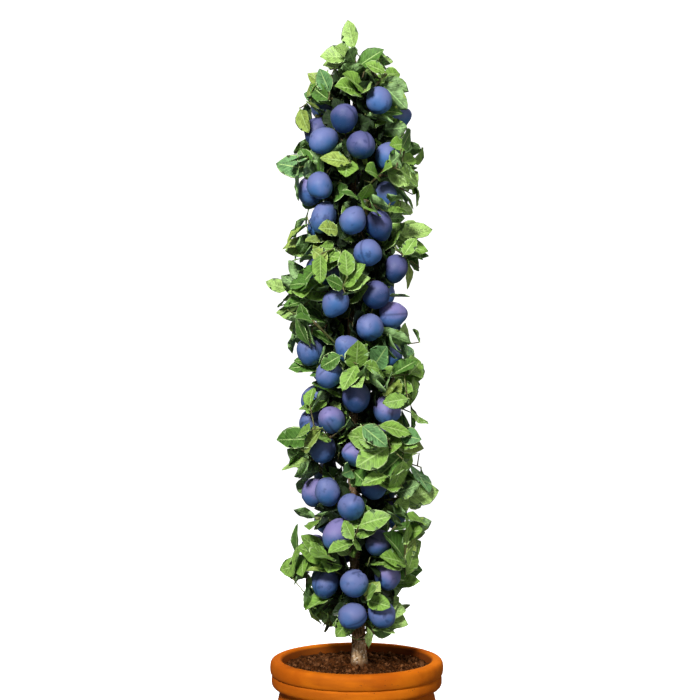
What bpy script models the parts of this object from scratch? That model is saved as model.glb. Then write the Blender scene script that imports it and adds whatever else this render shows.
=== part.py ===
"""Potted columnar plum tree: clay pot, potting soil, one upright trunk and the fruit sprays on it.

Metres, +Z up. The origin is the middle of the pot's flat underside. The side seen first is -Y.

The trunk is bare of long boughs, as on a columnar tree: short spurs leave it at the golden angle,
and each bears one spray of twigs, leaves and plums. A spray keeps to its own space, which is all
the points nearer to its spur than to any other, measured on the crown's unrolled surface.
"""

import math
import random

import bmesh
import bpy
from mathutils import Vector
from mathutils.bvhtree import BVHTree

UP = Vector((0.0, 0.0, 1.0))
GAP = 0.0003
MERGE_DISTANCE = 0.000001

# Pot
RIM_RADIUS = 0.150
RIM_TOP = 0.262
RIM_INNER_RADIUS = 0.1285
GROOVE_RADIUS = 0.146
GROOVE_HEIGHT = 0.2344
BEAD_RADIUS = 0.1474
NECK_RADIUS = 0.1316
NECK_HEIGHT = 0.2107
BELLY_RADIUS = 0.141
BELLY_HEIGHT = 0.155
BASE_RADIUS = 0.098
POT_WALL = 0.011
POT_FLOOR = 0.014
POT_SIDES = 32

# Soil
SOIL_TOP = 0.2535
SOIL_EDGE_HEIGHT = 0.2495
SOIL_FLAT_RADIUS = 0.022

# Trunk
TRUNK_TOP = 1.262
TRUNK_RADIUS = 0.0125
TRUNK_TIP_RADIUS = 0.003
FLARE = 0.003
FLARE_HEIGHT = 0.012
FLARE_LOBES = 5
BASE_X = 0.0045
LEAN = -0.0075
BOW = -0.0088
SWAY = 0.003
TRUNK_SIDES_RESOLUTION = 4

# Crown: heights and how far from the pot's axis the leaves go there
CROWN = (
    (0.294, 0.066), (0.312, 0.086), (0.345, 0.099), (0.420, 0.111), (1.120, 0.114),
    (1.250, 0.095), (1.300, 0.070), (1.316, 0.058), (1.325, 0.023), (1.372, 0.022),
)
BARE_FOOT = 0.320
BARE_RADIUS = 0.036
CROWN_TOP = 1.368
# Sprays that stand out of the column: bearing in degrees from +X, height, reach
LONG_SPRAYS = (
    (180, 1.246, 0.093), (180, 1.125, 0.142), (180, 0.970, 0.130), (180, 0.917, 0.157),
    (180, 0.865, 0.138), (180, 0.770, 0.118), (180, 0.639, 0.140), (180, 0.587, 0.131),
    (180, 0.414, 0.137), (0, 1.004, 0.132), (0, 0.961, 0.125), (0, 0.761, 0.120),
    (0, 0.553, 0.146), (0, 0.500, 0.130), (0, 0.414, 0.115), (0, 0.327, 0.087),
)
HIDDEN_LONG_SPRAYS = 16
SPRAY_HEIGHT = 0.022
SPRAY_TURN = 0.45

# Spurs and the space each one has
SPURS = 30
FIRST_SPUR = 0.335
SPUR_PITCH = 0.0307
GOLDEN_ANGLE = math.radians(137.5)
FIRST_TURN = math.radians(-80.0)
RISE = 0.35
CELL_RADIUS = 0.080
NEIGHBOURS = 8
TUFT_SLOPE = 0.35
SEED = 28

# Twigs
STEM_RADIUS = 0.0033
STEM_LENGTH = (0.032, 0.040)
STEM_KNEE = 0.007
STEM_SWAY = 0.004
TUFT_STEM = 0.034
TOP_SHOOT = 0.021
TWIG_RADIUS = 0.0017
KNOB_RADIUS = 0.0030
TWIGS = 3
TWIG_TRIES = 60
TWIG_REACH = (0.045, 0.078)
TWIG_SPREAD = (0.2, 0.6)
TWIG_TURN = 0.2
TWIG_LEVEL = 0.01
TWIG_SHARE = 0.75
TWIG_SHORTEST = 0.012
TWIG_ROOM = 0.004
NODE_ROOM = 0.007

# Leaves
LEAVES = 11
LEAF_CHOICES = 3
LEAF_TRIES = 60
TUFT_TRIES = 240
LONG_SPRAY_TRIES = 700
FACING_SHARE = 0.8
LEAF_ROLL = (0.3, 1.1)
TUFT_ROLL = (0.9, 2.2)
END_LEAN = (0.0, 0.35)
SIDE_LEAN = (0.6, 1.5)
LEAF_STEP = 0.008
LEAF_SPACING = 0.0008
LEAF_MARGIN = 0.0015
LEAF_ROOT = 0.003
LEAF_SUNK = 0.001
LEAF_LENGTH = (0.042, 0.077)
LEAF_WIDTH = 0.64
LEAF_THICKNESS = 0.0012
LEAF_TO_WOOD = 0.0028
LEAF_TO_TRUNK = 0.006
SEAT_RADIUS = 0.006
WOOD_STEP = 0.004

# Plums
PLUM_RADIUS = 0.0235
PLUM_STRETCH = 1.06
PLUM_REACH = 0.076
PLUM_LEEWAY = 0.004
PLUM_RISE = 0.02
PLUM_TURN = 0.9
PLUM_LEVEL = 0.045
PLUM_TOP = 1.250
PLUM_LAYOUTS = 12
PLUM_TRIES = 110
PLUMS = (3, 3, 4)
PLUM_GAP = 0.0015
LEAF_TO_PLUM = 0.003
TWIG_TO_PLUM = 0.004
PLUM_SHOWN = 0.5
PLUM_SHOWN_IN_FRONT = 0.4
STALK_RADIUS = 0.0012
STALK_SUNK = 0.82


def lerp(a, b, t):
    return a + (b - a) * t


def wrapped(angle):
    return (angle + math.pi) % (2.0 * math.pi) - math.pi


def bearing_vector(angle):
    return Vector((math.cos(angle), math.sin(angle), 0.0))


def random_unit(rng):
    return Vector([rng.gauss(0.0, 1.0) for axis in range(3)]).normalized()


def trunk_centre(z):
    """The trunk leans a little and bows to one side on its way up"""
    first = SOIL_TOP + FLARE_HEIGHT * 0.5
    t = min(max((z - first) / (TRUNK_TOP - first), 0.0), 1.0)
    x = BASE_X + LEAN * t + BOW * math.sin(math.pi * t)
    y = SWAY * math.sin(1.7 * math.pi * t)
    return Vector((x, y, z))


def trunk_radius(z):
    h = max(z - SOIL_TOP, 0.0)
    t = min(h / (TRUNK_TOP - SOIL_TOP), 1.0)
    return lerp(TRUNK_TIP_RADIUS, TRUNK_RADIUS, (1.0 - t) ** 0.8) + FLARE * math.exp(-h / FLARE_HEIGHT)


def long_sprays():
    """The sprays that stand out to the sides, and as many like them in front and behind"""
    rng = random.Random(SEED)
    sprays = [(math.radians(turn), height, reach) for turn, height, reach in LONG_SPRAYS]
    for k in range(HIDDEN_LONG_SPRAYS):
        middle = math.copysign(math.pi / 2, 0.5 - k % 2)
        turn = middle + rng.uniform(-0.9, 0.9)
        height = lerp(0.40, 1.14, (k + rng.random()) / HIDDEN_LONG_SPRAYS)
        sprays.append((turn, height, rng.uniform(0.118, 0.140)))
    return sprays


SPRAYS = long_sprays()


def crown_reach(p):
    """How far from the pot's axis a leaf may go at the height and bearing of p"""
    if not CROWN[0][0] < p.z < CROWN[-1][0]:
        return 0.0
    for (low, r_low), (high, r_high) in zip(CROWN, CROWN[1:]):
        if p.z <= high:
            reach = lerp(r_low, r_high, (p.z - low) / (high - low))
            break
    turn = math.atan2(p.y, p.x)
    best = reach
    for spray_turn, height, far in SPRAYS:
        up = (p.z - height) / SPRAY_HEIGHT
        across = wrapped(turn - spray_turn) / SPRAY_TURN
        best = max(best, lerp(reach, far, math.exp(-0.5 * (up * up + across * across))))
    return best


def spur_place(i):
    return FIRST_SPUR + i * SPUR_PITCH, FIRST_TURN + i * GOLDEN_ANGLE


def spur_distance(turn, level, i):
    height, spur_turn = spur_place(i)
    return math.hypot(CELL_RADIUS * wrapped(turn - spur_turn), level - height)


def room(p, i):
    """How far p is inside the space of spur i, or of the tuft when i is SPURS"""
    centre = trunk_centre(p.z)
    rho = math.hypot(p.x - centre.x, p.y - centre.y)
    above = (p.z - TRUNK_TOP - TUFT_SLOPE * rho) / math.hypot(1.0, TUFT_SLOPE)
    if i == SPURS:
        return above
    turn = math.atan2(p.y - centre.y, p.x - centre.x)
    level = p.z - RISE * rho
    own = spur_distance(turn, level, i)
    nearest = -above
    for j in range(max(0, i - NEIGHBOURS), min(SPURS, i + NEIGHBOURS + 1)):
        if j != i:
            nearest = min(nearest, (spur_distance(turn, level, j) - own) / 2)
    return nearest


def owner(p):
    return max(range(SPURS + 1), key=lambda i: room(p, i))


class Leaf:
    """A leaf's root, direction, length and the way its upper side faces"""

    def __init__(self, base, direction, length, normal, margin=0.0):
        self.base = base
        self.direction = direction
        self.length = length
        self.normal = normal
        self.margin = margin
        self.across = normal.cross(direction) * length * LEAF_WIDTH / 2
        self.tip = self.at(1.0, 0.0)
        self.points = [self.at(k, 0.0) for k in (0.3, 0.5, 0.75, 1.0)]
        for along, wide in ((0.3, 0.6), (0.5, 1.0), (0.75, 0.5)):
            self.points += [self.at(along, wide), self.at(along, -wide)]
        corners = [self.at(0.0, 0.0), self.at(0.5, 1.0), self.tip, self.at(0.5, -1.0)]
        self.shell = BVHTree.FromPolygons(corners, ((0, 1, 2), (0, 2, 3)), epsilon=LEAF_SPACING)

    def at(self, along, wide):
        return self.base + self.direction * self.length * along + self.across * wide


class Spray:
    """One spur's twigs, leaves and plums, as centre lines and places"""

    def __init__(self, index):
        self.index = index
        self.rng = random.Random(SEED * 1000 + index)
        self.twigs = []
        self.leaves = []
        self.plums = []
        self.stalks = []
        self.leaf_step = LEAF_STEP
        self.leaf_tries = LEAF_TRIES
        self.leaf_roll = LEAF_ROLL

    def set_spur(self):
        height, turn = spur_place(self.index)
        self.out = bearing_vector(turn)
        self.height = height
        self.turn = turn
        axis = trunk_centre(height)
        start = trunk_radius(height) + GAP
        end = min(self.rng.uniform(*STEM_LENGTH), crown_reach(axis) * 0.5)
        foot = axis + self.out * start
        knee = axis + self.out * (start + STEM_KNEE)
        side = Vector((-self.out.y, self.out.x, 0.0))
        tip = axis + self.out * end + UP * RISE * end + side * self.rng.uniform(-STEM_SWAY, STEM_SWAY)
        self.stem = [foot, knee, tip]
        self.twigs.append((self.stem, [STEM_RADIUS, STEM_RADIUS, KNOB_RADIUS * 0.8]))

    def set_tuft_stem(self):
        top = trunk_centre(TRUNK_TOP)
        self.out = UP.copy()
        self.leaf_step = LEAF_STEP / 2
        self.leaf_tries = TUFT_TRIES
        self.leaf_roll = TUFT_ROLL
        foot = top + UP * GAP
        self.stem = [foot, foot + UP * STEM_KNEE, foot + UP * TUFT_STEM]
        self.height = foot.z
        self.turn = 0.0
        self.twigs.append((self.stem, [TRUNK_TIP_RADIUS, TRUNK_TIP_RADIUS, KNOB_RADIUS]))

    def place(self, turn, rho, level):
        """The point at a bearing and a distance from the trunk, at a level over the spur's own line"""
        z = self.height + RISE * rho + level
        return trunk_centre(z) + bearing_vector(turn) * rho

    def clear_of_plums(self, p, distance):
        return all((p - c).length > PLUM_RADIUS + distance for c, axis in self.plums)

    def twig_is_clear(self, points, seat):
        for a, b in zip(points, points[1:]):
            for k in range(1, 6):
                p = a.lerp(b, k / 5)
                if not self.clear_of_plums(p, LEAF_TO_PLUM) or room(p, self.index) < TWIG_ROOM:
                    return False
                if (p - seat).length < SEAT_RADIUS:
                    continue
                if any(leaf.shell.find_nearest(p, KNOB_RADIUS)[0] for leaf in self.leaves):
                    return False
        return True

    def add_twig(self, node, seat=None):
        """A twig from the stem to a node, each one a step further back"""
        start = self.stem[-1].lerp(self.stem[-2], 0.1 + 0.25 * (len(self.twigs) - 1))
        points = [start, node]
        if (node - start).length < TWIG_SHORTEST or not self.twig_is_clear(points, seat or node):
            return False
        self.twigs.append((points, [TWIG_RADIUS, KNOB_RADIUS]))
        return True

    def leaf_clears(self, leaf, seat):
        """The leaf keeps to this spray's space and crosses no twig, plum or other leaf"""
        for p in leaf.points:
            if room(p, self.index) < leaf.margin or math.hypot(p.x, p.y) > crown_reach(p):
                return False
            centre = trunk_centre(p.z)
            clear = BARE_RADIUS if p.z < BARE_FOOT else trunk_radius(p.z) + LEAF_TO_TRUNK
            if math.hypot(p.x - centre.x, p.y - centre.y) < clear:
                return False
        if any(leaf.shell.find_nearest(c, PLUM_RADIUS + LEAF_TO_PLUM)[0] for c, axis in self.plums):
            return False
        if any(leaf.shell.overlap(other.shell) for other in self.leaves):
            return False
        for q in self.wood_points():
            if (q - seat).length > SEAT_RADIUS and leaf.shell.find_nearest(q, LEAF_TO_WOOD)[0]:
                return False
        return not self.hides_a_plum(leaf.points)

    def wood_points(self):
        for run, radii in self.twigs + self.stalks:
            for a, b in zip(run, run[1:]):
                steps = max(2, int((b - a).length / WOOD_STEP))
                for k in range(steps + 1):
                    yield a.lerp(b, k / steps)

    def hides_a_plum(self, points):
        for c, axis in self.plums:
            sight = Vector((c.x, c.y, 0.0)).normalized()
            for p in points:
                away = p - c
                beside = (away - sight * away.dot(sight)).length
                if away.dot(sight) > 0.0 and beside < PLUM_RADIUS * PLUM_SHOWN:
                    return True
                if max(c.y, away.y) < 0.0 and math.hypot(away.x, away.z) < PLUM_RADIUS * PLUM_SHOWN_IN_FRONT:
                    return True
        return False

    def leaf_normal(self, direction):
        """Upper sides face up and outward, and roll about the leaf, mostly to the bright side"""
        flat = Vector((direction.x, direction.y, 0.0)).normalized()
        around = Vector((-flat.y, flat.x, 0.0))
        if (around.y > 0.0) == (self.rng.random() < FACING_SHARE):
            around = -around
        wish = UP * 0.5 + self.out * 0.4 + around * self.rng.uniform(*self.leaf_roll)
        return (wish - direction * wish.dot(direction)).normalized()

    def add_leaf(self, base, direction, length, margin):
        leaf = Leaf(base, direction, length, self.leaf_normal(direction), margin)
        if self.leaf_clears(leaf, base):
            self.leaves.append(leaf)
            return True
        return False

    def add_long_sprays(self):
        """A leaf whose tip is the furthest point of a long spray in this space, and its twig"""
        for turn, height, far in SPRAYS:
            tip = bearing_vector(turn) * (far - 0.0005) + UP * height
            if owner(tip) != self.index:
                continue
            for attempt in range(LONG_SPRAY_TRIES):
                wish = bearing_vector(turn) + random_unit(self.rng) * 0.45
                direction = wish.normalized()
                length = self.rng.uniform(*LEAF_LENGTH)
                base = tip - direction * length
                if room(base, self.index) < SEAT_RADIUS:
                    continue
                if not self.add_leaf(base, direction, length, LEAF_MARGIN * 0.7):
                    continue
                if self.add_twig(base + direction * LEAF_ROOT, base):
                    break
                self.leaves.pop()

    def add_plums(self):
        """The fullest of several tries at laying the plums out"""
        want = 1 if self.index == SPURS - 1 else PLUMS[self.rng.randrange(len(PLUMS))]
        reach = crown_reach(trunk_centre(self.height + PLUM_RISE))
        near = trunk_radius(self.height) + PLUM_RADIUS + LEAF_TO_TRUNK
        far = max(near + PLUM_LEEWAY, min(PLUM_REACH, reach - PLUM_RADIUS))
        best = []
        for layout in range(PLUM_LAYOUTS):
            self.plums = []
            for attempt in range(PLUM_TRIES):
                turn = self.turn + self.rng.uniform(-PLUM_TURN, PLUM_TURN)
                rho = lerp(near, far, self.rng.random())
                c = self.place(turn, rho, self.rng.uniform(-PLUM_LEVEL, PLUM_LEVEL))
                if len(self.plums) < want and self.plum_fits(c):
                    self.plums.append((c, UP))
            if len(self.plums) > len(best):
                best = self.plums
            if len(best) == want:
                break
        self.plums = []
        for c, axis in best:
            self.add_plum(c)

    def plum_fits(self, c):
        if not BARE_FOOT < c.z - PLUM_RADIUS < c.z + PLUM_RADIUS < PLUM_TOP:
            return False
        for tilt in (-1.0, -0.5, 0.0, 0.5, 1.0):
            for k in range(8):
                ring = bearing_vector(k * math.pi / 4) * math.cos(tilt * math.pi / 2)
                skin = c + (ring + UP * math.sin(tilt * math.pi / 2)) * (PLUM_RADIUS + PLUM_GAP)
                if room(skin, self.index) < PLUM_GAP / 2:
                    return False
        if any((c - other).length < 2 * PLUM_RADIUS + PLUM_GAP for other, axis in self.plums):
            return False
        if any(leaf.shell.find_nearest(c, PLUM_RADIUS + LEAF_TO_PLUM)[0] for leaf in self.leaves):
            return False
        return min((p - c).length for p in self.twig_points()) > PLUM_RADIUS + TWIG_TO_PLUM

    def twig_points(self):
        """Seven points on each run of every twig"""
        for points, radii in self.twigs:
            for a, b in zip(points, points[1:]):
                for k in range(7):
                    yield a.lerp(b, k / 6)

    def hanger(self, c):
        """The twig point that a plum at c hangs from: a near one, rather above than below"""
        return min(self.twig_points(), key=lambda p: (p - c).length - max(0.0, p.z - c.z) * 0.6)

    def add_plum(self, c):
        """A plum hangs from a short stalk on the twig point above or beside it"""
        start = self.hanger(c)
        upward = (start - c).normalized()
        axis = (upward + UP * 0.5 + random_unit(self.rng) * 0.2).normalized()
        crown = c + upward * PLUM_RADIUS * STALK_SUNK
        self.plums.append((c, axis))
        self.stalks.append(([start, crown], [STALK_RADIUS * 1.3, STALK_RADIUS]))

    def add_twigs(self):
        for k in range(TWIGS):
            if len(self.twigs) > TWIGS:
                break
            phase = (k + 0.5) * math.tau / TWIGS
            for attempt in range(TWIG_TRIES):
                spread = self.rng.uniform(*TWIG_SPREAD)
                turn = self.turn + math.cos(phase) * spread + self.rng.uniform(-TWIG_TURN, TWIG_TURN)
                level = math.sin(phase) * CELL_RADIUS * spread + self.rng.uniform(-TWIG_LEVEL, TWIG_LEVEL)
                reach = crown_reach(trunk_centre(self.height + level)) * TWIG_SHARE
                node = self.place(turn, min(self.rng.uniform(*TWIG_REACH), reach), level)
                if room(node, self.index) > NODE_ROOM and self.clear_of_plums(node, TWIG_TO_PLUM):
                    if self.add_twig(node):
                        break

    def leaf_seats(self):
        """Where leaves may sit: near each twig's end and at steps back from it"""
        seats = []
        for points, radii in self.twigs:
            k = 0
            for b, a in zip(points[:0:-1], points[-2::-1]):
                along = (b - a).normalized()
                back = LEAF_ROOT
                while back < (b - a).length:
                    seats.append((b - along * back, along, k))
                    back += self.leaf_step
                    k += 1
        return [seat for seat in seats if seat[2] == 0 or room(seat[0], self.index) > TWIG_ROOM]

    def add_leaves(self):
        """Leaves alternate round each twig, and of those that fit the one that reaches furthest stays"""
        seats = self.leaf_seats()
        self.rng.shuffle(seats)
        for seat, along, k in sorted(seats, key=lambda item: item[2]):
            if len(self.leaves) >= LEAVES:
                return
            start = self.rng.uniform(0.0, math.tau)
            fits = []
            for attempt in range(self.leaf_tries):
                lean = self.rng.uniform(*(END_LEAN if k == 0 else SIDE_LEAN))
                direction = self.around(along, lean, start + attempt * GOLDEN_ANGLE)
                length = lerp(*LEAF_LENGTH, self.rng.random() ** 0.5 * (1.0 - attempt / self.leaf_tries))
                leaf = Leaf(seat, direction, length, self.leaf_normal(direction), LEAF_MARGIN)
                if self.leaf_clears(leaf, seat):
                    fits.append(leaf)
                if len(fits) == LEAF_CHOICES:
                    break
            if fits:
                self.leaves.append(max(fits, key=lambda leaf: math.hypot(leaf.tip.x, leaf.tip.y)))

    def around(self, along, lean, turn):
        """The direction that leans off a twig's own by an angle, turned round it"""
        u = along.orthogonal().normalized()
        v = along.cross(u)
        return along * math.cos(lean) + (u * math.cos(turn) + v * math.sin(turn)) * math.sin(lean)

    def add_top_shoot(self):
        """The single leaf at the very top, on a thin upright shoot"""
        start = self.stem[-1]
        node = Vector((-0.004, 0.0, start.z + TOP_SHOOT))
        self.twigs.append(([start, node], [TWIG_RADIUS, KNOB_RADIUS * 0.8]))
        direction = Vector((-0.24, 0.02, 1.0)).normalized()
        base = node - direction * LEAF_ROOT
        length = (CROWN_TOP - base.z) / direction.z
        normal = Vector((-0.7, -1.0, 0.0))
        normal = (normal - direction * normal.dot(direction)).normalized()
        self.leaves.append(Leaf(base, direction, length, normal))


def grow(index):
    spray = Spray(index)
    if index == SPURS:
        spray.set_tuft_stem()
        spray.add_top_shoot()
        spray.add_leaves()
        return spray
    spray.set_spur()
    spray.add_long_sprays()
    spray.add_plums()
    spray.add_twigs()
    spray.add_leaves()
    return spray


def new_object(name, mesh, collection):
    obj = bpy.data.objects.new(name, mesh)
    collection.objects.link(obj)
    return obj


def finish_material(name, colour, roughness):
    material = bpy.data.materials.new(name)
    material.use_nodes = True
    shader = material.node_tree.nodes["Principled BSDF"]
    shader.inputs["Base Color"].default_value = (*colour, 1.0)
    shader.inputs["Roughness"].default_value = roughness
    shader.inputs["Metallic"].default_value = 0.0
    return material


def dress(obj, material, sharp_degrees=35.0):
    obj.data.materials.clear()
    obj.data.materials.append(material)
    obj.data.shade_smooth()
    obj.data.set_sharp_from_angle(angle=math.radians(sharp_degrees))
    return obj


def apply_modifiers(obj):
    """The object's evaluated mesh takes the place of its mesh and modifiers"""
    depsgraph = bpy.context.evaluated_depsgraph_get()
    mesh = bpy.data.meshes.new_from_object(obj.evaluated_get(depsgraph))
    obj.modifiers.clear()
    obj.data = mesh
    return obj


def arc(points, count):
    """A smooth run through three points: start, the middle's pull and end"""
    a, b, c = points
    run = []
    for k in range(count + 1):
        t = k / count
        run.append(tuple((1 - t) ** 2 * u + 2 * t * (1 - t) * v + t * t * w for u, v, w in zip(a, b, c)))
    return run


def rim_profile():
    """From the inner wall over the rolled lip, the groove and the bead, down to the neck"""
    inner = (RIM_INNER_RADIUS, GROOVE_HEIGHT + 0.008)
    crest = ((RIM_INNER_RADIUS + RIM_RADIUS) / 2, RIM_TOP)
    side = (RIM_RADIUS, GROOVE_HEIGHT + 0.013)
    groove = (GROOVE_RADIUS, GROOVE_HEIGHT)
    bead = (BEAD_RADIUS, NECK_HEIGHT + 0.017)
    neck = (NECK_RADIUS, NECK_HEIGHT)
    points = arc((inner, (RIM_INNER_RADIUS, RIM_TOP), crest), 3)
    points += arc((crest, (RIM_RADIUS, RIM_TOP), side), 3)[1:]
    points += arc((side, (RIM_RADIUS, GROOVE_HEIGHT + 0.003), groove), 2)[1:]
    points += arc((groove, (BEAD_RADIUS, GROOVE_HEIGHT), bead), 1)[1:]
    points += arc((bead, (BEAD_RADIUS - 0.001, NECK_HEIGHT + 0.004), neck), 2)[1:]
    return points


def body_profile(inset):
    """The bellied wall from the neck down to the base, moved in by the inset"""
    neck = (NECK_RADIUS - inset, NECK_HEIGHT)
    belly = (BELLY_RADIUS - inset, BELLY_HEIGHT)
    base = (BASE_RADIUS - inset, 0.0)
    shoulder = (BELLY_RADIUS - 0.002 - inset, lerp(NECK_HEIGHT, BELLY_HEIGHT, 0.45))
    hip = (BELLY_RADIUS + 0.001 - inset, BELLY_HEIGHT * 0.55)
    return arc((neck, shoulder, belly), 2) + arc((belly, hip, base), 3)[1:]


def inner_wall(clearance):
    """The pot's inside from the floor's edge up to the rim, in by the clearance"""
    floor_edge = (BASE_RADIUS - POT_WALL - 0.002, POT_FLOOR)
    hip = (lerp(BASE_RADIUS, BELLY_RADIUS, 0.60) - POT_WALL, BELLY_HEIGHT * 0.42)
    belly = (BELLY_RADIUS - POT_WALL, BELLY_HEIGHT)
    neck = (NECK_RADIUS - POT_WALL, NECK_HEIGHT)
    rim = (RIM_INNER_RADIUS, GROOVE_HEIGHT + 0.008)
    return [(r - clearance, z) for r, z in (floor_edge, hip, belly, neck, rim)]


def turned(name, profile, collection, sides):
    """A profile of radii and heights turned round the pot's axis"""
    bm = bmesh.new()
    verts = [bm.verts.new((r, 0.0, z)) for r, z in profile]
    for a, b in zip(verts, verts[1:]):
        bm.edges.new((a, b))
    mesh = bpy.data.meshes.new(name)
    bm.to_mesh(mesh)
    bm.free()
    obj = new_object(name, mesh, collection)
    screw = obj.modifiers.new("turn", "SCREW")
    screw.axis = "Z"
    screw.steps = sides
    screw.render_steps = sides
    screw.use_merge_vertices = True
    screw.merge_threshold = MERGE_DISTANCE
    return apply_modifiers(obj)


def make_pot(collection):
    outer = rim_profile()[1:] + body_profile(0.0)[1:]
    profile = [(0.0, POT_FLOOR)] + inner_wall(0.0) + outer + [(0.0, 0.0)]
    pot = turned("pot", profile, collection, POT_SIDES)
    return dress(pot, finish_material("terracotta", (0.46, 0.13, 0.022), 0.62))


def make_soil(collection):
    """Potting soil fills the pot and rises gently to the foot of the trunk"""
    wall = inner_wall(GAP)
    wall[0] = (wall[0][0], POT_FLOOR + GAP)
    edge = (RIM_INNER_RADIUS - GAP, SOIL_EDGE_HEIGHT)
    mound = [(0.0, SOIL_TOP), (SOIL_FLAT_RADIUS, SOIL_TOP), (0.075, SOIL_TOP - 0.0015)]
    profile = mound + [edge] + wall[::-1] + [(0.0, POT_FLOOR + GAP)]
    soil = turned("soil", profile, collection, POT_SIDES)
    return dress(soil, finish_material("potting_soil", (0.060, 0.022, 0.010), 0.95))


def tube(name, points, radii, collection, section=None):
    """A tapered tube along points, three-sided where a section is given, as a closed mesh"""
    curve = bpy.data.curves.new(name, "CURVE")
    curve.dimensions = "3D"
    curve.use_fill_caps = True
    if section:
        curve.bevel_mode = "OBJECT"
        curve.bevel_object = section
    else:
        curve.bevel_depth = 1.0
        curve.bevel_resolution = TRUNK_SIDES_RESOLUTION
    spline = curve.splines.new("POLY")
    spline.points.add(len(points) - 1)
    for point, place, radius in zip(spline.points, points, radii):
        point.co = (*place, 1.0)
        point.radius = radius
    guide = new_object(name + "_curve", curve, collection)
    depsgraph = bpy.context.evaluated_depsgraph_get()
    mesh = bpy.data.meshes.new_from_object(guide.evaluated_get(depsgraph))
    bpy.data.objects.remove(guide)
    bm = bmesh.new()
    bm.from_mesh(mesh)
    bmesh.ops.remove_doubles(bm, verts=bm.verts, dist=MERGE_DISTANCE)
    bmesh.ops.recalc_face_normals(bm, faces=bm.faces)
    bm.to_mesh(mesh)
    bm.free()
    return new_object(name, mesh, collection)


def make_trunk(collection):
    """One upright trunk with a flared, lobed foot cut flat at the soil, and a blunt tip"""
    foot = SOIL_TOP + GAP
    rises = [0.0, 0.005, 0.013, 0.030]
    steps = 10
    rises += [lerp(0.030, TRUNK_TOP - foot, (k + 1) / steps) for k in range(steps)]
    points = [trunk_centre(foot + h) for h in rises]
    points[0] = Vector((points[1].x, points[1].y, foot))
    trunk = tube("trunk", points, [trunk_radius(p.z) for p in points], collection)
    for vertex in trunk.data.vertices:
        centre = trunk_centre(vertex.co.z)
        away = Vector((vertex.co.x - centre.x, vertex.co.y - centre.y, 0.0))
        lobe = 0.10 * math.cos(FLARE_LOBES * math.atan2(away.y, away.x))
        fade = math.exp(-(vertex.co.z - foot) / FLARE_HEIGHT)
        vertex.co += away * lobe * fade
    return dress(trunk, finish_material("bark", (0.14, 0.085, 0.045), 0.85))


def leaf_solid(name, leaf, collection):
    """A thin lens in a leaf's outline, thickest near its stalk, its root sunk in the twig's knob"""
    bm = bmesh.new()
    bmesh.ops.create_uvsphere(bm, u_segments=4, v_segments=2, radius=1.0)
    for vertex in bm.verts:
        x, y, z = vertex.co
        along = (0.5 + 0.5 * x) if abs(z) < 0.5 else 0.3
        sunk = leaf.direction * LEAF_SUNK * (1.0 - along)
        vertex.co = leaf.at(along, y) - sunk + leaf.normal * z * LEAF_THICKNESS / 2
    mesh = bpy.data.meshes.new(name)
    bm.to_mesh(mesh)
    bm.free()
    return new_object(name, mesh, collection)


def plum_solid(name, centre, axis, collection):
    bm = bmesh.new()
    bmesh.ops.create_uvsphere(bm, u_segments=6, v_segments=4, radius=PLUM_RADIUS)
    bmesh.ops.scale(bm, verts=bm.verts, vec=(1.0, 1.0, PLUM_STRETCH))
    turn = UP.rotation_difference(axis).to_matrix()
    bmesh.ops.rotate(bm, verts=bm.verts, matrix=turn)
    bmesh.ops.translate(bm, verts=bm.verts, vec=centre)
    mesh = bpy.data.meshes.new(name)
    bm.to_mesh(mesh)
    bm.free()
    return new_object(name, mesh, collection)


def drop_scraps(obj):
    """Keeps the largest joined piece of a mesh"""
    bm = bmesh.new()
    bm.from_mesh(obj.data)
    left = set(bm.verts)
    pieces = []
    while left:
        stack = [left.pop()]
        piece = set(stack)
        while stack:
            for edge in stack.pop().link_edges:
                for vertex in edge.verts:
                    if vertex in left:
                        left.discard(vertex)
                        piece.add(vertex)
                        stack.append(vertex)
        pieces.append(piece)
    pieces.sort(key=len)
    for piece in pieces[:-1]:
        bmesh.ops.delete(bm, geom=list(piece), context="VERTS")
    bm.to_mesh(obj.data)
    bm.free()


def fuse(body, pieces):
    """One Boolean union of the stem with everything that grows from it"""
    union = body.modifiers.new("join", "BOOLEAN")
    union.operation = "UNION"
    union.solver = "EXACT"
    union.operand_type = "COLLECTION"
    union.collection = pieces
    apply_modifiers(body)
    for obj in list(pieces.objects):
        bpy.data.objects.remove(obj)
    bpy.data.collections.remove(pieces)
    drop_scraps(body)
    return body


def make_spray(index, name, section, collection, material):
    spray = grow(index)
    pieces = bpy.data.collections.new(name + "_pieces")
    bpy.context.scene.collection.children.link(pieces)
    stem_points, stem_radii = spray.twigs[0]
    stem = tube(name, stem_points, stem_radii, collection, section)
    for points, radii in spray.twigs[1:] + spray.stalks:
        tube("twig", points, radii, pieces, section)
    for centre, axis in spray.plums:
        plum_solid("plum", centre, axis, pieces)
    for leaf in spray.leaves:
        leaf_solid("leaf", leaf, pieces)
    return dress(fuse(stem, pieces), material)


def twig_section(collection):
    """The three-sided section that the twigs' curves follow"""
    curve = bpy.data.curves.new("twig_section", "CURVE")
    curve.dimensions = "2D"
    spline = curve.splines.new("POLY")
    spline.points.add(2)
    for k, point in enumerate(spline.points):
        turn = k * math.tau / 3
        point.co = (math.cos(turn), math.sin(turn), 0.0, 1.0)
    spline.use_cyclic_u = True
    section = new_object("twig_section", curve, collection)
    section.hide_render = True
    section.display_type = "WIRE"
    return section


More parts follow.
